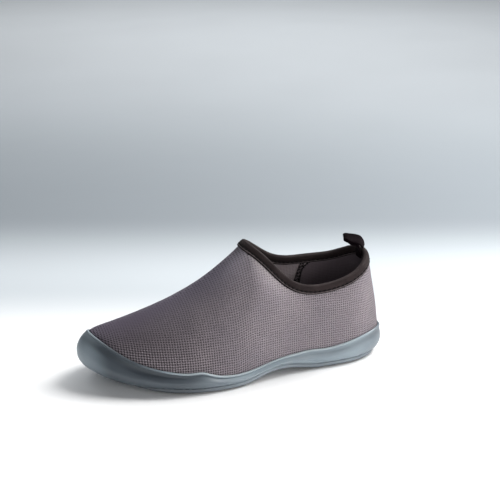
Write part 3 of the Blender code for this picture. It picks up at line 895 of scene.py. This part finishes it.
def lining_look(name, light, dark, hole, panel=None):
    """Fine lining mesh, with the tone of the heel's panel where the piece has it."""
    look = Look(name, Specular_IOR_Level=0.2)
    holes, height = look.mesh(look.cloth(*LINING_STRAY), LINING_PERIOD)[1:]
    mottle, tone = look.mottled(LINING_MOTTLE, light, dark)
    if panel:
        tone = look.mix(look.mark("tone"), tone, panel)
    tone = look.mix(look.fit(holes, *LINING_HOLES), tone, hole)
    return look.done(tone, look.bump(height, LINING_DEPTH, strength=0.8), mottle, LINING_ROUGH)


def rubber_look(name, light, dark, toe, painted_highlight, grain):
    """Satin moulded rubber: fine grain, faint clouds, and tones that follow the piece's own: painted shade, a
    painted highlight below zero and a painted contact shadow above one.
    """
    look = Look(name, Specular_IOR_Level=0.36, Coat_Weight=0.1, Coat_Roughness=0.25)
    place = look.place()
    fine, pits = look.noise(place, scale=2200.0), look.noise(place, scale=620.0, roughness=0.6)
    share = look.mark("tone")
    clouds, tone = look.mottled(RUBBER_MOTTLE, light, dark)
    tone = look.mix(look.fit(pits, *RUBBER_PITS), tone, dark)
    # Painted shade where the tone is high, and a painted highlight where it is below zero
    tone = look.mix(share, tone, toe)
    tone = look.mix(look.fit(share, *LIGHT_MARK), tone, painted_highlight)
    # Painted contact shadow where the tone is above one
    tone = look.mix(look.fit(share, *CONTACT_SHADE_RANGE), tone, CONTACT_SHADE_COLOUR)
    normal = look.bump(fine, grain, strength=0.6)
    normal = look.bump(pits, PIT_DEPTH * grain, strength=0.35, under=normal)
    return look.done(tone, normal, clouds, RUBBER_ROUGH)


def ribbed_look(name):
    """Knitted tape: close ribs across it with a finer twill, darker where the piece's tone is high."""
    light, dark, rib, depth, gloss = TAPES[name]
    look = Look(name, Specular_IOR_Level=gloss, Sheen_Weight=RIB_SHEEN * gloss, Sheen_Roughness=0.4)
    cloth = look.cloth(*RIB_STRAY)
    ribs, twill = look.bands(cloth, rib, "X"), look.bands(cloth, rib * TWILL_PERIOD, "DIAGONAL")
    mottle, tone = look.mottled(RIB_MOTTLE, light, dark)
    tone = look.mix(look.fit(ribs, *RIB_SHADE), tone, dark)
    tone = look.mix(look.maths("MULTIPLY", look.mark("tone"), RIB_DARK), tone, RIB_BLACK)
    height = look.maths("ADD", ribs, look.maths("MULTIPLY", twill, TWILL_SHARE))
    return look.done(tone, look.bump(height, depth, strength=0.8), mottle, RIB_ROUGH)


def thread_look(name, light, dark):
    """Sewing thread: a fine twist round each stitch."""
    look = Look(name, Roughness=0.7, Specular_IOR_Level=0.15)
    twist = look.bands(look.add("ShaderNodeUVMap", uv_map="cloth"), THREAD_TWIST, "DIAGONAL")
    normal = look.bump(twist, THREAD_DEPTH, strength=0.7)
    return look.wear(Base_Color=look.mix(twist, dark, light), Normal=normal)


class Wall:
    """The upper's outer face as a grid of rows from its foot to the collar or the ridge."""

    def __init__(self, ring):
        self.ring = ring
        inset = ring.rim_inset + LIP_THICK + GAP
        base = ring.at_height(inset, ring.rim - BASE_BELOW_RIM)
        height = ring.ridge[:, 2] - base[:, 2]
        share = np.clip((ring.collar - base[:, 2]) / height, 0, 1)
        last_turn = np.arcsin(share ** (1 / ring.flatness))
        rows = [ring.over(floor_height, inset, CUP_FLOOR_TOP + GAP)]
        for j in range(WALL_ROWS + 1):
            turn = last_turn * j / WALL_ROWS
            reach = np.clip(np.cos(turn), 0, None) ** ring.flatness
            reach[turn > math.pi / 2 - TINY] = 0.0
            plan = ring.ridge[:, :2] + (base[:, :2] - ring.ridge[:, :2]) * reach[:, None]
            rows.append(np.column_stack([plan, base[:, 2] + height * np.sin(turn) ** ring.flatness]))
        self.rows = np.array(rows)
        self.up = self.heights()
        self.below = self.up[-1] - self.up
        self.flat = self.cloth()
        self.rows = self.rows + self.creases()[..., None] * self.normals()
        self.out = self.normals()
        self.x = self.rows[..., 0]
        self.aside = self.rows[..., 1] - ring.ridge[:, 1]

    def heights(self):
        """Distance up each column from the rim."""
        steps = np.linalg.norm(np.diff(self.rows[1:], axis=0), axis=2)
        up = np.vstack([np.zeros(self.ring.around), np.cumsum(steps, axis=0)])
        return np.vstack([self.rows[0, :, 2] - self.rows[1, :, 2], up])

    def cloth(self):
        """Flat coordinates: level threads along the shoe and round the heel, others across them."""
        ring = self.ring
        x = self.rows[..., 0]
        girth = ring.girth()
        girth = girth - girth[np.argmin(np.abs(ring.x[: ring.count] - WRAP_TO_X))] + WRAP_TO_X
        wrap = 1 - eased(self.rows[1, :, 0], WRAP_FROM_X, WRAP_TO_X)
        along = x + (girth - x) * wrap
        rounded = np.sqrt(self.below**2 + RIDGE_ROUND**2) - RIDGE_ROUND
        in_front = eased(ring.x, THROAT_X, THROAT_X + RIDGE_EASE)
        up = self.up + in_front * (self.below - rounded)
        return np.stack([along, up + ring.rim], axis=-1)

    def creases(self):
        """How far the cloth stands out or in."""
        out = np.zeros(self.up.shape)
        side = np.where(np.arange(self.ring.around) <= self.ring.count, 1, -1)
        for row in CREASES.values():
            crease = dict(zip(CREASE_COLUMNS, row))
            start = np.array([crease["from_x"], crease["from_up"]])
            line = np.array([crease["to_x"], crease["to_up"]]) - start
            here = np.stack([self.rows[..., 0], self.up], axis=-1) - start
            along = np.clip(here @ line / (line @ line), 0, 1)
            away = np.linalg.norm(here - along[..., None] * line, axis=-1)
            fade = np.sqrt(np.sin(math.pi * np.clip(along, *CREASE_ENDS)))
            out += crease["out"] * bell(away, crease["reach"]) * fade * (side == crease["side"])
        open_here = 1 - eased(self.ring.x, *COLLAR_END_X)
        puff = PUFF * bell(self.below - PUFF_DOWN, PUFF_REACH) * open_here
        still = eased(self.up, *STILL_UP) * (1 - (1 - eased(self.below, *STILL_DOWN)) * open_here)
        return (out + puff) * still

    def tone(self):
        """How much painted shade the cloth has: light at the heel and, as a painted highlight, along the
        collar's outer front, dark at the toe.
        """
        toe = eased(self.x, *TONE_X)
        more = RIDGE_TONE * bell(self.below, RIDGE_WIDE) - FOOT_TONE * bell(self.up, FOOT_HIGH)
        dark = HEEL_TONE + (TOE_TONE - HEEL_TONE + more) * toe + BACK_TONE * (1 - eased(self.x, *BACK_X))
        # Painted shade along the instep's ridge, where the cloth is bluish
        dark += INSTEP_TONE * self.cool() * (1 - toe)
        return dark - PALE * self.collar_highlight()

    def collar_highlight(self):
        """The share of painted highlight along the collar's outer front."""
        along = bell(self.x - PALE_X, PALE_LONG)
        return along * bell(self.below, PALE_WIDE) * eased(self.aside, *PALE_ASIDE)

    def cool(self):
        """How much bluish painted shade the cloth has: most along the ridge in front of the throat."""
        return eased(self.x, *COOL_X) * bell(self.aside, COOL_WIDE)

    def relief(self):
        """How much the weave shows: less under the painted highlight along the collar and on top of the toe,
        more low at its sides.
        """
        smooth = TOE_SMOOTH * bell(self.below, TOE_SMOOTH_REACH)
        low = FOOT_RELIEF * bell(self.up, FOOT_RELIEF_HIGH)
        return 1 + eased(self.x, *TONE_X) * (low - smooth) - PALE_SMOOTH * self.collar_highlight()

    def normals(self):
        """Outward normals of the grid's points, shared where the two sides meet on the ridge."""
        rows = closed(self.rows)
        area = np.cross(rows[1:, 1:] - rows[:-1, :-1], rows[1:, :-1] - rows[:-1, 1:])
        total = np.zeros(rows.shape)
        for across in (slice(0, -1), slice(1, None)):
            total[:-1, across] += area
            total[1:, across] += area
        total[:, 0] += total[:, -1]
        total = total[:, :-1]
        ring = self.ring
        front = np.arange(BACK_STEPS, ring.around - BACK_STEPS + 1)
        top = total[-1].copy()
        total[-1, front] = top[front] + top[ring.partner[front]]
        normals = unit(total)
        middle = normals[WALL_ROWS // 2, ring.count // 2]
        return normals if middle[1] > 0 else -normals

    def faces(self, points):
        """A search tree over the grid's points, moved to these places."""
        around = self.ring.around
        index = closed(np.arange(len(self.rows) * around).reshape(len(self.rows), around))
        return BVHTree.FromPolygons(points.reshape(-1, 3).tolist(), quads(index))


def collar_steps():
    """Ring steps of the collar: heel, outer side, throat, inner side."""
    return np.concatenate([np.arange(BACK_STEPS + 1), np.arange(-BACK_STEPS + 1, 0)])


def panel_edge(z):
    """x of the heel panel's edge at heights over the floor."""
    heights, places = np.array(list(PANEL_EDGE.values())).T
    return np.interp(z, heights, places)


def make_upper(wall, finishes):
    """Woven shell with its lining, open at the collar and underneath."""
    inner = wall.rows - UPPER_WALL * wall.out
    free = eased(wall.below, *PANEL_DOWN) * eased(wall.up, *PANEL_UP)
    edge = panel_edge(inner[..., 2])
    cover = 1 - eased(inner[..., 0], edge - PANEL_STEP, edge + PANEL_STEP)
    inner = inner - (PANEL_THICK * cover * free)[..., None] * wall.out
    flat, panel = closed(wall.flat), closed(cover)
    marks = {name: closed(getattr(wall, name)()) for name in MARKS}
    top = collar_steps()
    foot, rim = np.stack([inner[0], wall.rows[0]]), np.stack([wall.rows[-1, top], inner[-1, top]])
    outside, inside = range(len(finishes))
    piece = Piece()
    piece.grid(closed(wall.rows), flat, outside, **marks)
    piece.grid(closed(inner), flat, inside, tone=panel)
    piece.grid(closed(foot), flat[:2], inside, tone=panel[:2])
    piece.grid(closed(rim), closed(wall.flat[-2:, top]), inside, tone=closed(cover[-2:, top]))
    return piece.build("upper_shell", finishes, "upper")


def make_midsole(ring, finish):
    """Cup with a floor and a wall that swells, draws in below its lip and ends in a rounded rim."""
    foot_inset = ring.tuck + EDGE_ROUND
    at_toe, at_heel = covered(ring.x)
    under = ring.over(outsole_top, foot_inset + at_toe * FOOT_LIP, GAP)
    foot = ring.over(outsole_top, foot_inset, GAP)
    foot[:, 2] -= (at_toe + at_heel) * FOOT_COVER
    base = foot[:, 2]
    rise = ring.rim - base
    bulge = base + BULGE_SHARE * rise
    lip = np.minimum(ring.lip, LIP_SHARE * rise)
    bead = LIP_BEAD * np.clip((BEAD_FADE_TO - ring.rim_inset) / (BEAD_FADE_TO - BEAD_FADE_FROM), 0, 1)
    rows = [under, foot]
    for turn in np.linspace(0, math.pi / 2, BULGE_ROWS + 1)[1:]:
        height = base + (bulge - base) * (1 - np.cos(turn))
        rows.append(ring.at_height(foot_inset * (1 - np.sin(turn)), height))
    for share in np.linspace(0, 1, NECK_ROWS + 1)[1:]:
        lean = (1 - ring.hollow) * share**NECK_POWER + ring.hollow * eased(share, 0, NECK_HOLLOW)
        rows.append(ring.at_height((ring.rim_inset + bead) * lean, bulge + share * (ring.rim - lip - bulge)))
    for inward, down in LIP_PROFILE.values():
        rows.append(ring.at_height(ring.rim_inset + inward * LIP_THICK, ring.rim - down * lip))
    rows.append(ring.over(floor_height, ring.rim_inset + LIP_THICK, CUP_FLOOR_TOP))
    rows = np.array(rows)
    # Painted shade in a band under the lip, strongest at the toe and the heel
    at_ends = eased(ring.x, *BAND_TOE_X) + BAND_HEEL * (1 - eased(ring.x, *BAND_HEEL_X))
    band = BAND_TONE * (BAND_MIDDLE + (1 - BAND_MIDDLE) * at_ends)
    tone = sole_tone(rows) + band * bell(ring.rim - BAND_DOWN - rows[..., 2], BAND_REACH)
    # Painted highlight on the lip's crest, fading out at the heel and the toe
    crest = [list(LIP_PROFILE).index(name) - len(LIP_PROFILE) - 1 for name in LIP_HIGHLIGHT_ROWS]
    highlight_share = eased(ring.x, *LIP_HEEL_X) * (1 - eased(ring.x, *LIP_TOE_X))
    tone[crest] += (LIP_HIGHLIGHT_TONE - tone[crest]) * highlight_share
    piece = Piece()
    piece.tube(ring, rows, tone)
    piece.ladder(ring, rows[0])
    piece.ladder(ring, rows[-1])
    return piece.build("cup_sole", [finish], "midsole")


def make_outsole(ring, finish):
    """Bottom layer with a rounded edge, a flat border and a tread of low blocks."""
    at_toe, at_heel = covered(ring.x)
    edge = ring.tuck + at_toe * TOE_SETBACK + at_heel * HEEL_SETBACK
    rows = []
    for border, height in ((TREAD_BORDER + TREAD_SLANT, LUG_HEIGHT), (TREAD_BORDER, 0.0)):
        rows.append(ring.over(floor_height, edge + EDGE_ROUND + border, height))
    contact_rows = len(rows) + list(OUTSOLE_SIDE).index("turn_high")
    for inset, share in OUTSOLE_SIDE.values():
        side = ring.over(floor_height, edge + inset, 0.0)
        side[:, 2] += share * outsole_thickness(side[:, 0])
        rows.append(side)
    rows = np.array(rows)
    # Painted shade along the sole
    tone = sole_tone(rows)
    # Painted contact shadow on the rows from the underside up to the turn
    tone[:contact_rows] = CONTACT_SHADE_TONE
    piece = Piece()
    piece.tube(ring, rows, tone)
    piece.ladder(ring, rows[0], LUG_COLUMNS)
    piece.ladder(ring, rows[-1])
    add_lugs(piece, rows[0], ring)
    return piece.build("outsole_tread", [finish], "outsole")


def add_lugs(piece, plate, ring):
    """Blocks with bevelled edges, one in each cell of the tread's plate but those at its two ends."""
    pick = np.abs(ring.side[:, None] - np.linspace(0, 1, LUG_ROWS + 1)).argmin(axis=0)
    corners = between(plate[pick], plate[ring.partner[pick]], LUG_COLUMNS)
    for i in range(1, LUG_ROWS - 1):
        for j in range(LUG_COLUMNS):
            quad = np.array([corners[i, j], corners[i, j + 1], corners[i + 1, j + 1], corners[i + 1, j]])
            middle = quad.mean(axis=0)
            reach = np.linalg.norm(quad[:, :2] - middle[:2], axis=1)
            rings = []
            for margin, down in LUG_PROFILE.values():
                scale = np.clip(1 - margin * math.sqrt(2) / reach, LUG_LEAST, 1)[:, None]
                turn = middle + (quad - middle) * scale
                turn[:, 2] = floor_height(turn[:, 0]) + LUG_HEIGHT * (1 - down)
                rings.append(turn)
            rings = np.array(rings)
            piece.grid(closed(rings), closed(rings)[..., :2])
            top = np.array([rings[-1, [0, 1]], rings[-1, [3, 2]]])
            piece.grid(top, top[..., :2])


def make_insole(ring, finish):
    """Foam sock with a cloth face on the cup's floor."""
    edge = ring.rim_inset + LIP_THICK + GAP + UPPER_WALL + GAP
    base = CUP_FLOOR_TOP + GAP
    profile = INSOLE_PROFILE.values()
    rows = np.array([ring.over(floor_height, edge + a, base + up * INSOLE_THICK) for a, up in profile])
    piece = Piece()
    piece.grid(closed(rows), closed(rows)[..., :2])
    piece.ladder(ring, rows[0])
    piece.ladder(ring, rows[-1], SOCK_COLUMNS)
    return piece.build("insole_sock", [finish], "insole")


class Collar:
    """The collar's edge as a closed loop, with the wall's faces for what is laid against them."""

    def __init__(self, wall):
        top = collar_steps()
        self.edge, self.out = wall.rows[-1, top], wall.out[-1, top]
        along = np.roll(self.edge, -1, axis=0) - np.roll(self.edge, 1, axis=0)
        self.up = unit(np.cross(self.out, along))
        if np.sum(self.up * (self.edge - wall.rows[-2, top])) < 0:
            self.up = -self.up
        self.outer_face = wall.faces(wall.rows)
        self.inner_face = wall.faces(wall.rows - UPPER_WALL * wall.out)
        self.girth = lengths(closed(self.edge[None])[0])

    def beside(self, drop, clear, outside=True):
        """Points that far down from the edge, clear of the wall's outer or inner face."""
        depth, face, sign = (0.0, self.outer_face, 1.0) if outside else (UPPER_WALL, self.inner_face, -1.0)
        start = self.edge - drop * self.up - depth * self.out
        from_throat = np.linalg.norm(self.edge - self.edge[BACK_STEPS], axis=1)
        more = THROAT_CLEAR * bell(from_throat, THROAT_REACH) * min(drop / BINDING_DROP, 1)
        found = [face.find_nearest(Vector(point)) for point in start]
        places = np.array([hit[0] for hit in found])
        normals = np.array([hit[1] for hit in found])
        normals *= np.sign(np.sum(normals * self.out, axis=1))[:, None]
        return places + sign * (clear + more)[:, None] * normals

    def over(self, aside, rise):
        """Points over the edge, aside from the middle of the wall."""
        return self.edge - UPPER_WALL / 2 * self.out + aside * self.out + rise * self.up


def make_binding(collar, finishes):
    """Folded padded band over the collar's edge, sewn through along a groove above its hem."""
    half = UPPER_WALL / 2 + GAP + BINDING_SKIN
    flap = [(drop * BINDING_DROP, GAP + skin * BINDING_SKIN) for drop, skin in FLAP_PROFILE.values()]
    rows = [collar.beside(drop, clear) for drop, clear in flap]
    for turn in math.pi * np.arange(CROWN_STEPS + 1) / CROWN_STEPS:
        rows.append(collar.over(half * math.cos(turn), BINDING_CROWN * math.sin(turn)))
    rows += [collar.beside(drop, clear, outside=False) for drop, clear in reversed(flap)]
    rows += [
        collar.beside(SLOT_SHARE * BINDING_DROP, GAP, outside=False),
        collar.over(-UPPER_WALL / 2 - GAP, GAP),
        collar.over(UPPER_WALL / 2 + GAP, GAP),
        collar.beside(SLOT_SHARE * BINDING_DROP, GAP),
    ]
    rows.append(rows[0])
    rows = closed(np.array(rows))
    across = np.append(0, np.cumsum(np.linalg.norm(np.diff(rows, axis=0), axis=2).mean(axis=1)))
    flat = np.stack(np.broadcast_arrays(collar.girth[None, :], across[:, None]), axis=-1)
    # Painted shade at the back of the inner side
    far = (1 - eased(rows[..., 0], *BAND_FAR_X)) * (1 - eased(rows[..., 1], *BAND_FAR_Y))
    dark = eased(rows[..., 0], *BAND_DARK_X) + BAND_FAR_DARK * far
    low, high = (list(FLAP_PROFILE).index(name) for name in ("hem_low", "hem_high"))
    last = 2 * len(flap) + CROWN_STEPS
    ends = (0, low, high, last - high, last - low, len(rows) - 1)
    # The third finish, named lining here, is the binding's near-black edge: partly its own dark edge, partly
    # painted shadow where it meets the wall
    band, hem, lining = range(len(finishes))
    piece = Piece()
    for start, end, finish in zip(ends, ends[1:], (lining, hem, band, hem, lining)):
        part = slice(start, end + 1)
        piece.grid(rows[part], flat[part], finish, tone=dark[part])
    return piece.build("binding_band", finishes, "collar_binding")


def evenly(path, spacing):
    """Points that far apart along a closed path, with its direction there."""
    loop = np.vstack([path, path[:1]])
    along = lengths(loop)
    count = int(along[-1] / spacing)
    at = (np.arange(count) + 0.5) * along[-1] / count
    ways = (at, (at + LOOK_AHEAD) % along[-1])
    places, ahead = (np.column_stack([np.interp(way, along, axis) for axis in loop.T]) for way in ways)
    return places, unit(ahead - places)


def add_stitch(piece, place, along, out, length, width):
    """One stitch: a short rounded bar of thread that dips at both ends."""
    side = np.cross(out, along)
    turn = np.linspace(0, 2 * math.pi, STITCH_SIDES + 1)[:, None]
    rings, flat = [], []
    for share, size, sink in STITCH_PROFILE:
        centre = place + along * share * length / 2 - out * sink * width
        rings.append(centre + size * width / 2 * (np.cos(turn) * side + np.sin(turn) * out))
        flat.append(np.hstack([np.full_like(turn, share * length / 2), turn * width / 2]))
    piece.grid(np.array(rings), np.array(flat))


def make_binding_stitches(collar, finish):
    """Rows of stitches in the binding's groove, outside and inside."""
    piece = Piece()
    drop, skin = FLAP_PROFILE["groove"]
    clear = GAP + skin * BINDING_SKIN + STITCH_LIFT * STITCH_WIDTH
    for outside, sign in ((True, 1), (False, -1)):
        path = collar.beside(drop * BINDING_DROP, clear, outside)
        for place, way in zip(*evenly(path, STITCH_SPACING)):
            out = sign * collar.out[np.argmin(np.linalg.norm(path - place, axis=1))]
            out = unit(out - way * (out @ way))
            add_stitch(piece, place, way, out, STITCH_LENGTH, STITCH_WIDTH)
    return piece.build("binding_stitches", [finish], merge=False)


class Lining:
    """Places on the inner wall, by x and height, on the inner side of the shoe."""

    def __init__(self, collar):
        self.face = collar.inner_face

    def at(self, x, z, clear):
        place, normal = self.face.ray_cast(Vector((x, 0.0, z)), Vector((0.0, -1.0, 0.0)))[:2]
        normal = np.array(normal) * (1 if normal[1] > 0 else -1)
        return np.array(place) + clear * normal, normal


def make_tape(lining, finish):
    """Flat tape over the seam between the lining's front and its heel panel."""
    heights, places = np.array(list(TAPE_ROUTE.values())).T
    z = np.arange(heights[0], heights[-1], TAPE_STEP)
    x = np.interp(z, heights, places)
    rows, flat = [], []
    for wide, thick in TAPE_PROFILE:
        clear = PANEL_THICK + thick * TAPE_THICK
        rows.append([lining.at(a + wide * TAPE_WIDTH / 2, b, clear)[0] for a, b in zip(x, z)])
        flat.append(np.column_stack([z, np.full_like(z, wide * TAPE_WIDTH / 2)]))
    piece = Piece()
    piece.grid(np.array(rows), np.array(flat))
    return piece.build("seam_tape", [finish])


def make_tape_stitches(lining, finish):
    """Rails of stitches along the tape's edges, a zigzag between them, and the panel's sewn edge."""
    heights, places = np.array(list(TAPE_ROUTE.values())).T
    piece = Piece()

    def sew(start, end, width):
        (a, normal), (b, _) = (lining.at(*place, PANEL_THICK + TAPE_THICK) for place in (start, end))
        way = unit(b - a)
        out = unit(normal - way * (normal @ way))
        add_stitch(piece, (a + b) / 2, way, out, np.linalg.norm(b - a), width)

    def on_tape(share, z):
        return np.interp(z, heights, places) + share * TAPE_WIDTH / 2 * RAIL_SHARE, z

    for z in np.arange(heights[0], heights[-1] - RAIL_SPACING, RAIL_SPACING):
        for share in (-1, 1):
            sew(on_tape(share, z), on_tape(share, z + RAIL_STITCH), TAPE_THREAD)
    for k, z in enumerate(np.arange(heights[0], heights[-1] - ZIGZAG_RISE, ZIGZAG_RISE)):
        share = 1 if k % 2 else -1
        sew(on_tape(share, z), on_tape(-share, z + ZIGZAG_RISE), TAPE_THREAD)
    along = np.linspace(heights[0], PANEL_EDGE["hidden"][0], PANEL_EDGE_STEPS)
    for low, high in zip(along, along[1:]):
        sew((float(panel_edge(low)), low), (float(panel_edge(high)), high), EDGE_CORD)
    return piece.build("lining_stitches", [finish], merge=False)


def make_loop(collar, finish):
    """Webbing strap folded into a loop at the back of the collar."""
    route = dict(zip(LOOP_COLUMNS, smooth_path(list(LOOP_ROUTE.values()), LOOP_STEPS).T))
    middle = collar.edge[0] + np.column_stack([route[name] for name in ("forward", "aside", "up")])
    roll, swing = np.radians(route["roll_deg"]), np.radians(route["swing_deg"])
    across = np.column_stack([np.cos(roll) * np.sin(swing), np.cos(roll) * np.cos(swing), -np.sin(roll)])
    through = unit(np.cross(np.gradient(middle, axis=0), across))
    along = lengths(middle)
    to_nose = eased(route["forward"], NOSE_FROM, max(route["forward"]))
    rows, flat = [], []
    for wide, thick in STRAP_TOP + tuple((-wide, -thick) for wide, thick in STRAP_TOP):
        reach = (wide - NOSE_TRIM * max(wide, 0) * to_nose) * LOOP_STRAP_WIDTH / 2
        rows.append(middle + across * reach[:, None] + through * thick * LOOP_STRAP_THICK / 2)
        flat.append(np.column_stack([along, np.full_like(along, wide * LOOP_STRAP_WIDTH / 2)]))
    rows, flat = np.array(rows + rows[:1]), np.array(flat + flat[:1])
    piece = Piece()
    piece.grid(rows, flat)
    half = len(STRAP_TOP)
    for end in (0, -1):
        cap = np.array([rows[:half, end], rows[2 * half - 1 : half - 1 : -1, end]])
        piece.grid(cap, cap[..., :2])
    return piece.build("heel_loop", [finish], "pull_loop")


def make_floor(back):
    """Pale floor, white round the shoe, that fades to grey-blue behind it and grows lighter farther off."""
    mesh = bpy.data.meshes.new("floor")
    half = FLOOR_SIZE / 2
    corners = [(-half, -half, 0), (half, -half, 0), (half, half, 0), (-half, half, 0)]
    mesh.from_pydata(corners, [], [(0, 1, 2, 3)])
    floor = bpy.data.objects.new("floor", mesh)
    bpy.context.scene.collection.objects.link(floor)
    look = Look("floor_paint", Specular_IOR_Level=0.15)
    place = look.place()
    behind = unit(np.array([-back[0], -back[1], 0.0]))
    away = look.add("ShaderNodeVectorMath", place, behind, operation="DOT_PRODUCT", output="Value")
    tone = FLOOR_NEAR
    for start, end, colour in FLOOR_FADES:
        share = look.add("ShaderNodeMapRange", away, start, end, interpolation_type="SMOOTHSTEP")
        tone = look.mix(share, tone, colour)
    normal = look.bump(look.noise(place, scale=700.0), FLOOR_GRAIN, strength=0.2)
    mesh.materials.append(look.done(tone, normal, look.noise(place, scale=6.0), FLOOR_ROUGH))


def facing(turn, rise):
    """Unit vector towards a viewer at these angles, in degrees."""
    turn, rise = math.radians(turn), math.radians(rise)
    return np.array([math.sin(turn) * math.cos(rise), math.cos(turn) * math.cos(rise), math.sin(rise)])


def make_camera():
    """The photo's camera. Returns its directions to the right and back."""
    place = np.array(CAMERA_CENTRE) + CAMERA_AWAY * facing(CAMERA_TURN, CAMERA_RISE)
    place = (place - (LENGTH / 2, CAMERA_SHIFT, 0)) * MM
    back = facing(CAMERA_TURN + CAMERA_YAW, CAMERA_RISE + CAMERA_PITCH)
    turn = math.radians(CAMERA_TURN + CAMERA_YAW)
    right = np.array([-math.cos(turn), math.sin(turn), 0.0])
    data = bpy.data.cameras.new("camera")
    data.sensor_width = SENSOR
    data.lens = CAMERA_FOCUS / PHOTO_WIDTH * SENSOR
    camera = bpy.data.objects.new("camera", data)
    axes = ((*right, 0.0), (*np.cross(back, right), 0.0), (*back, 0.0), (*place, 1.0))
    camera.matrix_world = Matrix(axes).transposed()
    bpy.context.scene.collection.objects.link(camera)
    bpy.context.scene.camera = camera
    return right, back


def add_light(name, place, aim, size, power, colour):
    data = bpy.data.lights.new(name, "AREA")
    data.shape = "RECTANGLE"
    data.size, data.size_y = size
    data.energy = power
    data.color = colour
    lamp = bpy.data.objects.new(name, data)
    lamp.location = place
    lamp.rotation_mode = "QUATERNION"
    lamp.rotation_quaternion = (Vector(aim) - Vector(place)).to_track_quat("-Z", "Y")
    bpy.context.scene.collection.objects.link(lamp)


def make_lights(right, back):
    """Soft lights round the shoe, placed by the camera's directions, and a faint sky."""
    axes = np.array([right, (0.0, 0.0, 1.0), unit(np.array([back[0], back[1], 0.0]))])
    for name, (place, aim, size, power, colour) in LIGHTS.items():
        add_light(name, np.array(place) @ axes, np.array(aim) @ axes, size, power, colour)
    world = bpy.data.worlds.new("studio")
    world.use_nodes = True
    sky = world.node_tree.nodes["Background"]
    sky.inputs["Color"].default_value = WORLD_TONE
    sky.inputs["Strength"].default_value = WORLD_STRENGTH
    bpy.context.scene.world = world
    bpy.context.scene.view_settings.view_transform = "Standard"


def main():
    ring = last_ring()
    wall = Wall(ring)
    collar = Collar(wall)
    lining = Lining(collar)
    thread = thread_look("black_thread", *THREAD)
    binding = [ribbed_look(name) for name in ("binding_knit", "binding_hem", "binding_edge")]
    make_upper(wall, [weave_look("mesh_cloth", **WEAVE), lining_look("lining_mesh", **LINING)])
    make_midsole(ring, rubber_look("cup_rubber", **CUP_RUBBER))
    make_outsole(ring, rubber_look("tread_rubber", **TREAD_RUBBER))
    make_insole(ring, lining_look("sock_cloth", **SOCK))
    make_binding(collar, binding)
    make_binding_stitches(collar, thread)
    make_tape(lining, ribbed_look("tape_knit"))
    make_tape_stitches(lining, thread)
    make_loop(collar, ribbed_look("webbing"))
    right, back = make_camera()
    make_floor(back)
    make_lights(right, back)


main()
